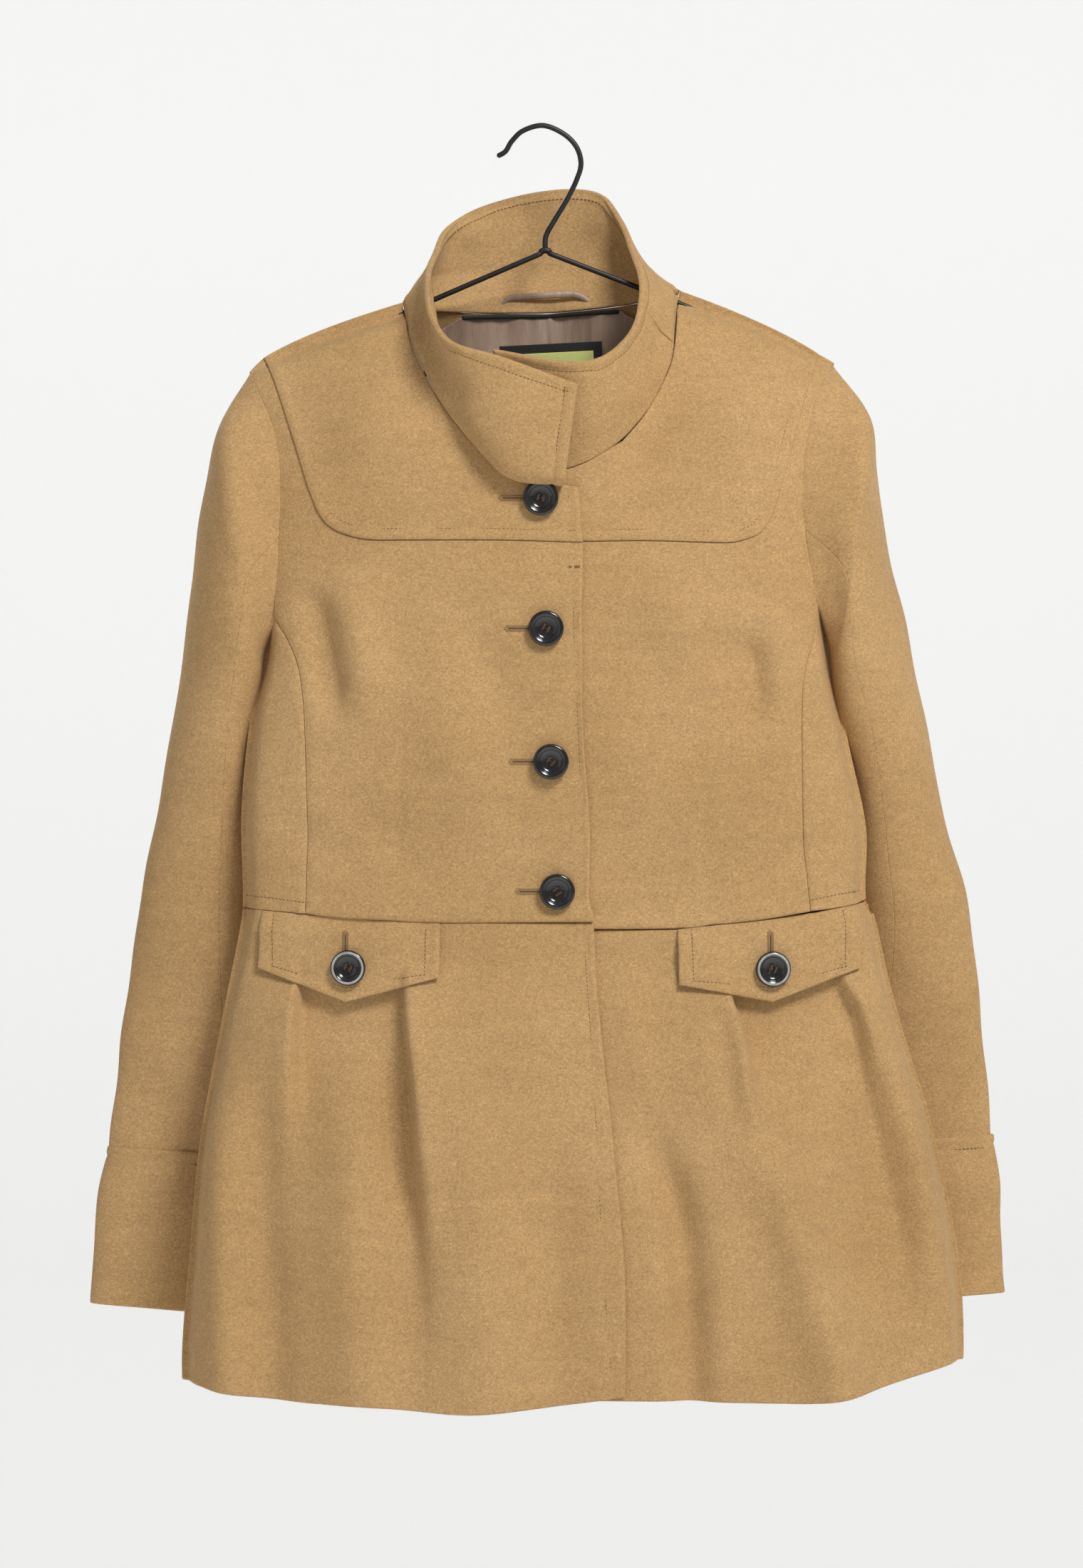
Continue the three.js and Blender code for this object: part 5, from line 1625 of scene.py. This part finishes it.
satin_panel("back_satin", "back_lining", 1,
            [[(-160, -210), (-84, -140), (-58, -120)], [(-58, -120), (0, -120.5), (54, -116)],
             [(54, -116), (84, -136), (158, -200)]],
            [[(-192, -514), (-197, -660), (-205, -806)], [(-205, -806), (20, -816), (230, -800)],
             [(230, -800), (205, -650), (180, -495)]],
            LINING_DROP + 2, 4, 61, held_seam=5.0)
satin_panel("right_front_satin", "right_front_lining", -1,
            [[(-101, -140), (-60, -215)], [(-60, -215), (-60, -470)], [(-122, -500), (-114, -800)]],
            [[(-165, -175), (-168, -250)], [(-168, -250), (-168, -335), (-178, -490)],
             [(-182, -520), (-212, -802)]],
            LINING_DROP + 1, 4.5, 63)
satin_panel("left_front_satin", "left_front_lining", -1,
            [[(98, -134), (62, -215)], [(62, -215), (76, -800)]],
            [[(163, -168), (168, -330)], [(168, -330), (190, -500), (240, -795)]],
            LINING_DROP + UNDER_DROP + 1.5, 4.5, 65)

# ---- neck trims ----
PIPING_RADIUS = 1.5
PIPING_DROP = 10.6
LOOP_Y = 29.5
LOOP_HALF_WIDTH = 2.2
LOOP_STEPS = 90
LOOP = [(-30, -117.5), (-26, -112.5), (-21.5, -109.6), (-8, -108.6), (8, -107.6), (19.5, -107.2),
        (26, -109), (31.5, -112.6)]
LABEL_WIDTH, LABEL_HEIGHT, LABEL_BORDER = 68.0, 40.0, 6.0
LABEL_TILT = 0.05


def tube(name, points, radius, material, sides=22, steps=160):
    """A round rod on a smooth line with domed ends."""
    line = even(points, steps)
    along = np.gradient(line, axis=0)
    along /= np.linalg.norm(along, axis=1, keepdims=True)
    side_way = np.cross(along[0], [0, 1.0, 0.02])
    run = run_along(line)
    turns = np.linspace(0, 2 * math.pi, sides, endpoint=False)
    rings = []
    for point, ahead, passed in zip(line, along, run):
        side_way = side_way - ahead * np.dot(side_way, ahead)
        side_way /= np.linalg.norm(side_way)
        other = np.cross(ahead, side_way)
        near = min(passed, run[-1] - passed)
        size = radius * math.sqrt(max(1 - (1 - min(near / radius, 1)) ** 2, 0.02))
        rings.append(point + size * (np.cos(turns)[:, None] * side_way + np.sin(turns)[:, None] * other))
    return link(name, np.concatenate(rings), rod_faces(len(rings), sides), material)


def piping():
    """The cord along the top edge of the back lining."""
    x = np.linspace(-57, 53, 14)
    line, _ = surface(1, x, np.interp(x, [-58, 0, 54], [-120, -120.5, -116]), [set_off(-PIPING_DROP)])
    dress(tube("neck_piping_cord", line, PIPING_RADIUS, BLACK_CLOTH), "coat", "piping", "neck_piping")


def hang_loop():
    """A narrow satin strip that bows forward between its sewn ends."""
    line = even([(x, LOOP_Y - 1.2 * math.sin((x + 30) / 62 * math.pi), z) for x, z in LOOP], LOOP_STEPS)
    across = np.linspace(-1, 1, 9)
    strip = np.stack([line + np.array([0, 0.3 * abs(w), w * LOOP_HALF_WIDTH]) for w in across])
    swell = 0.12 * np.cos(across * 3)[:, None] * np.ones(LOOP_STEPS + 1)
    dress(sheet_mesh("hang_loop_satin", strip, SATIN, FRONT, 0.9, swell, 0.35), "coat", "lining", "hang_loop")


def label_sheet(name, border, forward, material, thickness, *nodes):
    """One layer of the neck label, a border's width smaller all round and some way forward."""
    low, high = (np.array(corner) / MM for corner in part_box("back_label"))
    width, height = LABEL_WIDTH - 2 * border, LABEL_HEIGHT - 2 * border
    columns, rows = places(width, 1.6), places(height, 1.6)
    u, v = np.meshgrid((columns - 0.5) * width, -rows * height - border)
    x = (low[0] + high[0]) / 2 + u * math.cos(LABEL_TILT) - v * math.sin(LABEL_TILT)
    z = high[2] - 1.7 + v * math.cos(LABEL_TILT) + u * math.sin(LABEL_TILT)
    y = low[1] - forward - 0.35 * np.cos(u / 11.0) + 0.25 * np.sin(v / 9.0)
    layer = sheet_mesh(name, np.stack([x, y, z], axis=-1), material, FRONT, thickness, 0.0, thickness / 2)
    dress(layer, "coat", "label", *nodes)


piping()
hang_loop()
label_sheet("label_border_cloth", 0, 0.0, BLACK_CLOTH, 0.7, "back_label")
label_sheet("label_field_cloth", LABEL_BORDER, 0.55, LABEL_CLOTH, 0.5)

# ---- hanger ----
WIRE_RADIUS = 1.75
WELD_RADIUS = 2.15
HOOK = [(-30.4, 0, -18.7), (-24.8, 0, -15.3), (-20.5, 0, -8.5), (-13, 0, -1.6), (0, 0, WIRE_RADIUS),
        (13.2, 0, -3.5), (21.9, 0, -12.2), (25, 0, -23.4), (21.9, 0, -34.6), (15.7, 0, -47.1),
        (8.2, 0, -59.5), (2, 0, -70.8), (1.4, 0, -80.4)]
WELD = [(-2.6, 0, -82.3), (-0.6, 0, -81.0), (1.4, 0, -80.3), (3.4, 0, -80.9), (5.4, 0, -82.1)]
# The arms fall away from the hook's foot at these slopes, and the bar hangs below their ends.
FOOT_X, FOOT_Z = 1.4, -81.4
ARM_REACH = 180
ARM_SLOPES = {"right": 0.431, "left": 0.385}
BAR_SLOPE = 0.408
BAR_DROP = 5


def arm_point(x, slope):
    return (x, 0, FOOT_Z - abs(x - FOOT_X) * slope)


def wire(name, points, node, sides=22, steps=60):
    dress(tube(name, points, WIRE_RADIUS, WIRE, sides, steps), "coat", "wire", node)


wire("hanger_hook_wire", HOOK, "hanger_hook", 26, 260)
for side, end_x in (("right", -ARM_REACH), ("left", ARM_REACH)):
    slope = ARM_SLOPES[side]
    arm = [(FOOT_X, 0, FOOT_Z), arm_point(end_x / 2, slope), arm_point(end_x, slope)]
    wire(f"hanger_{side}_arm_wire", arm, f"hanger_{side}_arm")
bar = [(-182, 0, FOOT_Z - 181.4 * ARM_SLOPES["right"] - BAR_DROP),
       (0, 0, FOOT_Z - ARM_REACH * BAR_SLOPE - BAR_DROP),
       (182, 0, FOOT_Z - 178.6 * ARM_SLOPES["left"] - BAR_DROP)]
wire("hanger_bar_wire", bar, "hanger_bar")
dress(tube("hanger_weld", WELD, WELD_RADIUS, WIRE, 22, 24), "coat", "wire")

# ---- studio ----
FLOOR_Z = -2200
COVE_HALF_WIDTH = 16000
# The floor and the wall behind, as depth and height above the floor.
COVE = [(-16000, 0), (6500, 0), (7600, 180), (8500, 800), (8950, 1800), (9000, 3000), (9000, 12000)]
COVE_GLOW = 0.43
WORLD_LIGHT = 0.27
# Each: place and aim in metres, the size of its square, and its power in watts.
LIGHTS = {
    "key": ((1.35, -2.3, 2.1), (0, 0, -0.4), 1.0, 104),
    "fill": ((-2.6, -2.6, 0.3), (0, 0, -0.5), 2.0, 5),
    "back_soft": ((-1.2, 2.8, 1.4), (0, 0, -0.45), 2.0, 40),
}


def area_light(name, place, aim, size, power):
    light = bpy.data.objects.new(name, bpy.data.lights.new(name, "AREA"))
    light.data.shape = "RECTANGLE"
    light.data.size, light.data.size_y = size, size
    light.data.energy = power
    light.location = place
    light.rotation_euler = Vector(np.subtract(aim, place)).to_track_quat("-Z", "Y").to_euler()
    bpy.context.scene.collection.objects.link(light)


def cove():
    """A pale floor that curves up into a faintly glowing wall."""
    paint = bpy.data.materials.new("studio_paint")
    paint.use_nodes = True
    sockets = paint.node_tree.nodes["Principled BSDF"].inputs
    sockets["Base Color"].default_value = linear(238, 238, 237)
    sockets["Roughness"].default_value = 0.9
    sockets["Emission Color"].default_value = grey(1)
    sockets["Emission Strength"].default_value = COVE_GLOW
    points = [(x, y, FLOOR_Z + z) for y, z in COVE for x in (-COVE_HALF_WIDTH, COVE_HALF_WIDTH)]
    faces = [(2 * k, 2 * k + 1, 2 * k + 3, 2 * k + 2) for k in range(len(COVE) - 1)]
    link("studio_cove", points, faces, paint)


def world_light():
    world = bpy.data.worlds.new("studio")
    bpy.context.scene.world = world
    world.use_nodes = True
    sockets = world.node_tree.nodes["Background"].inputs
    sockets["Color"].default_value = grey(1)
    sockets["Strength"].default_value = WORLD_LIGHT


cove()
world_light()
for name, setting in LIGHTS.items():
    area_light(name, *setting)
bpy.context.scene.view_settings.view_transform = "Standard"
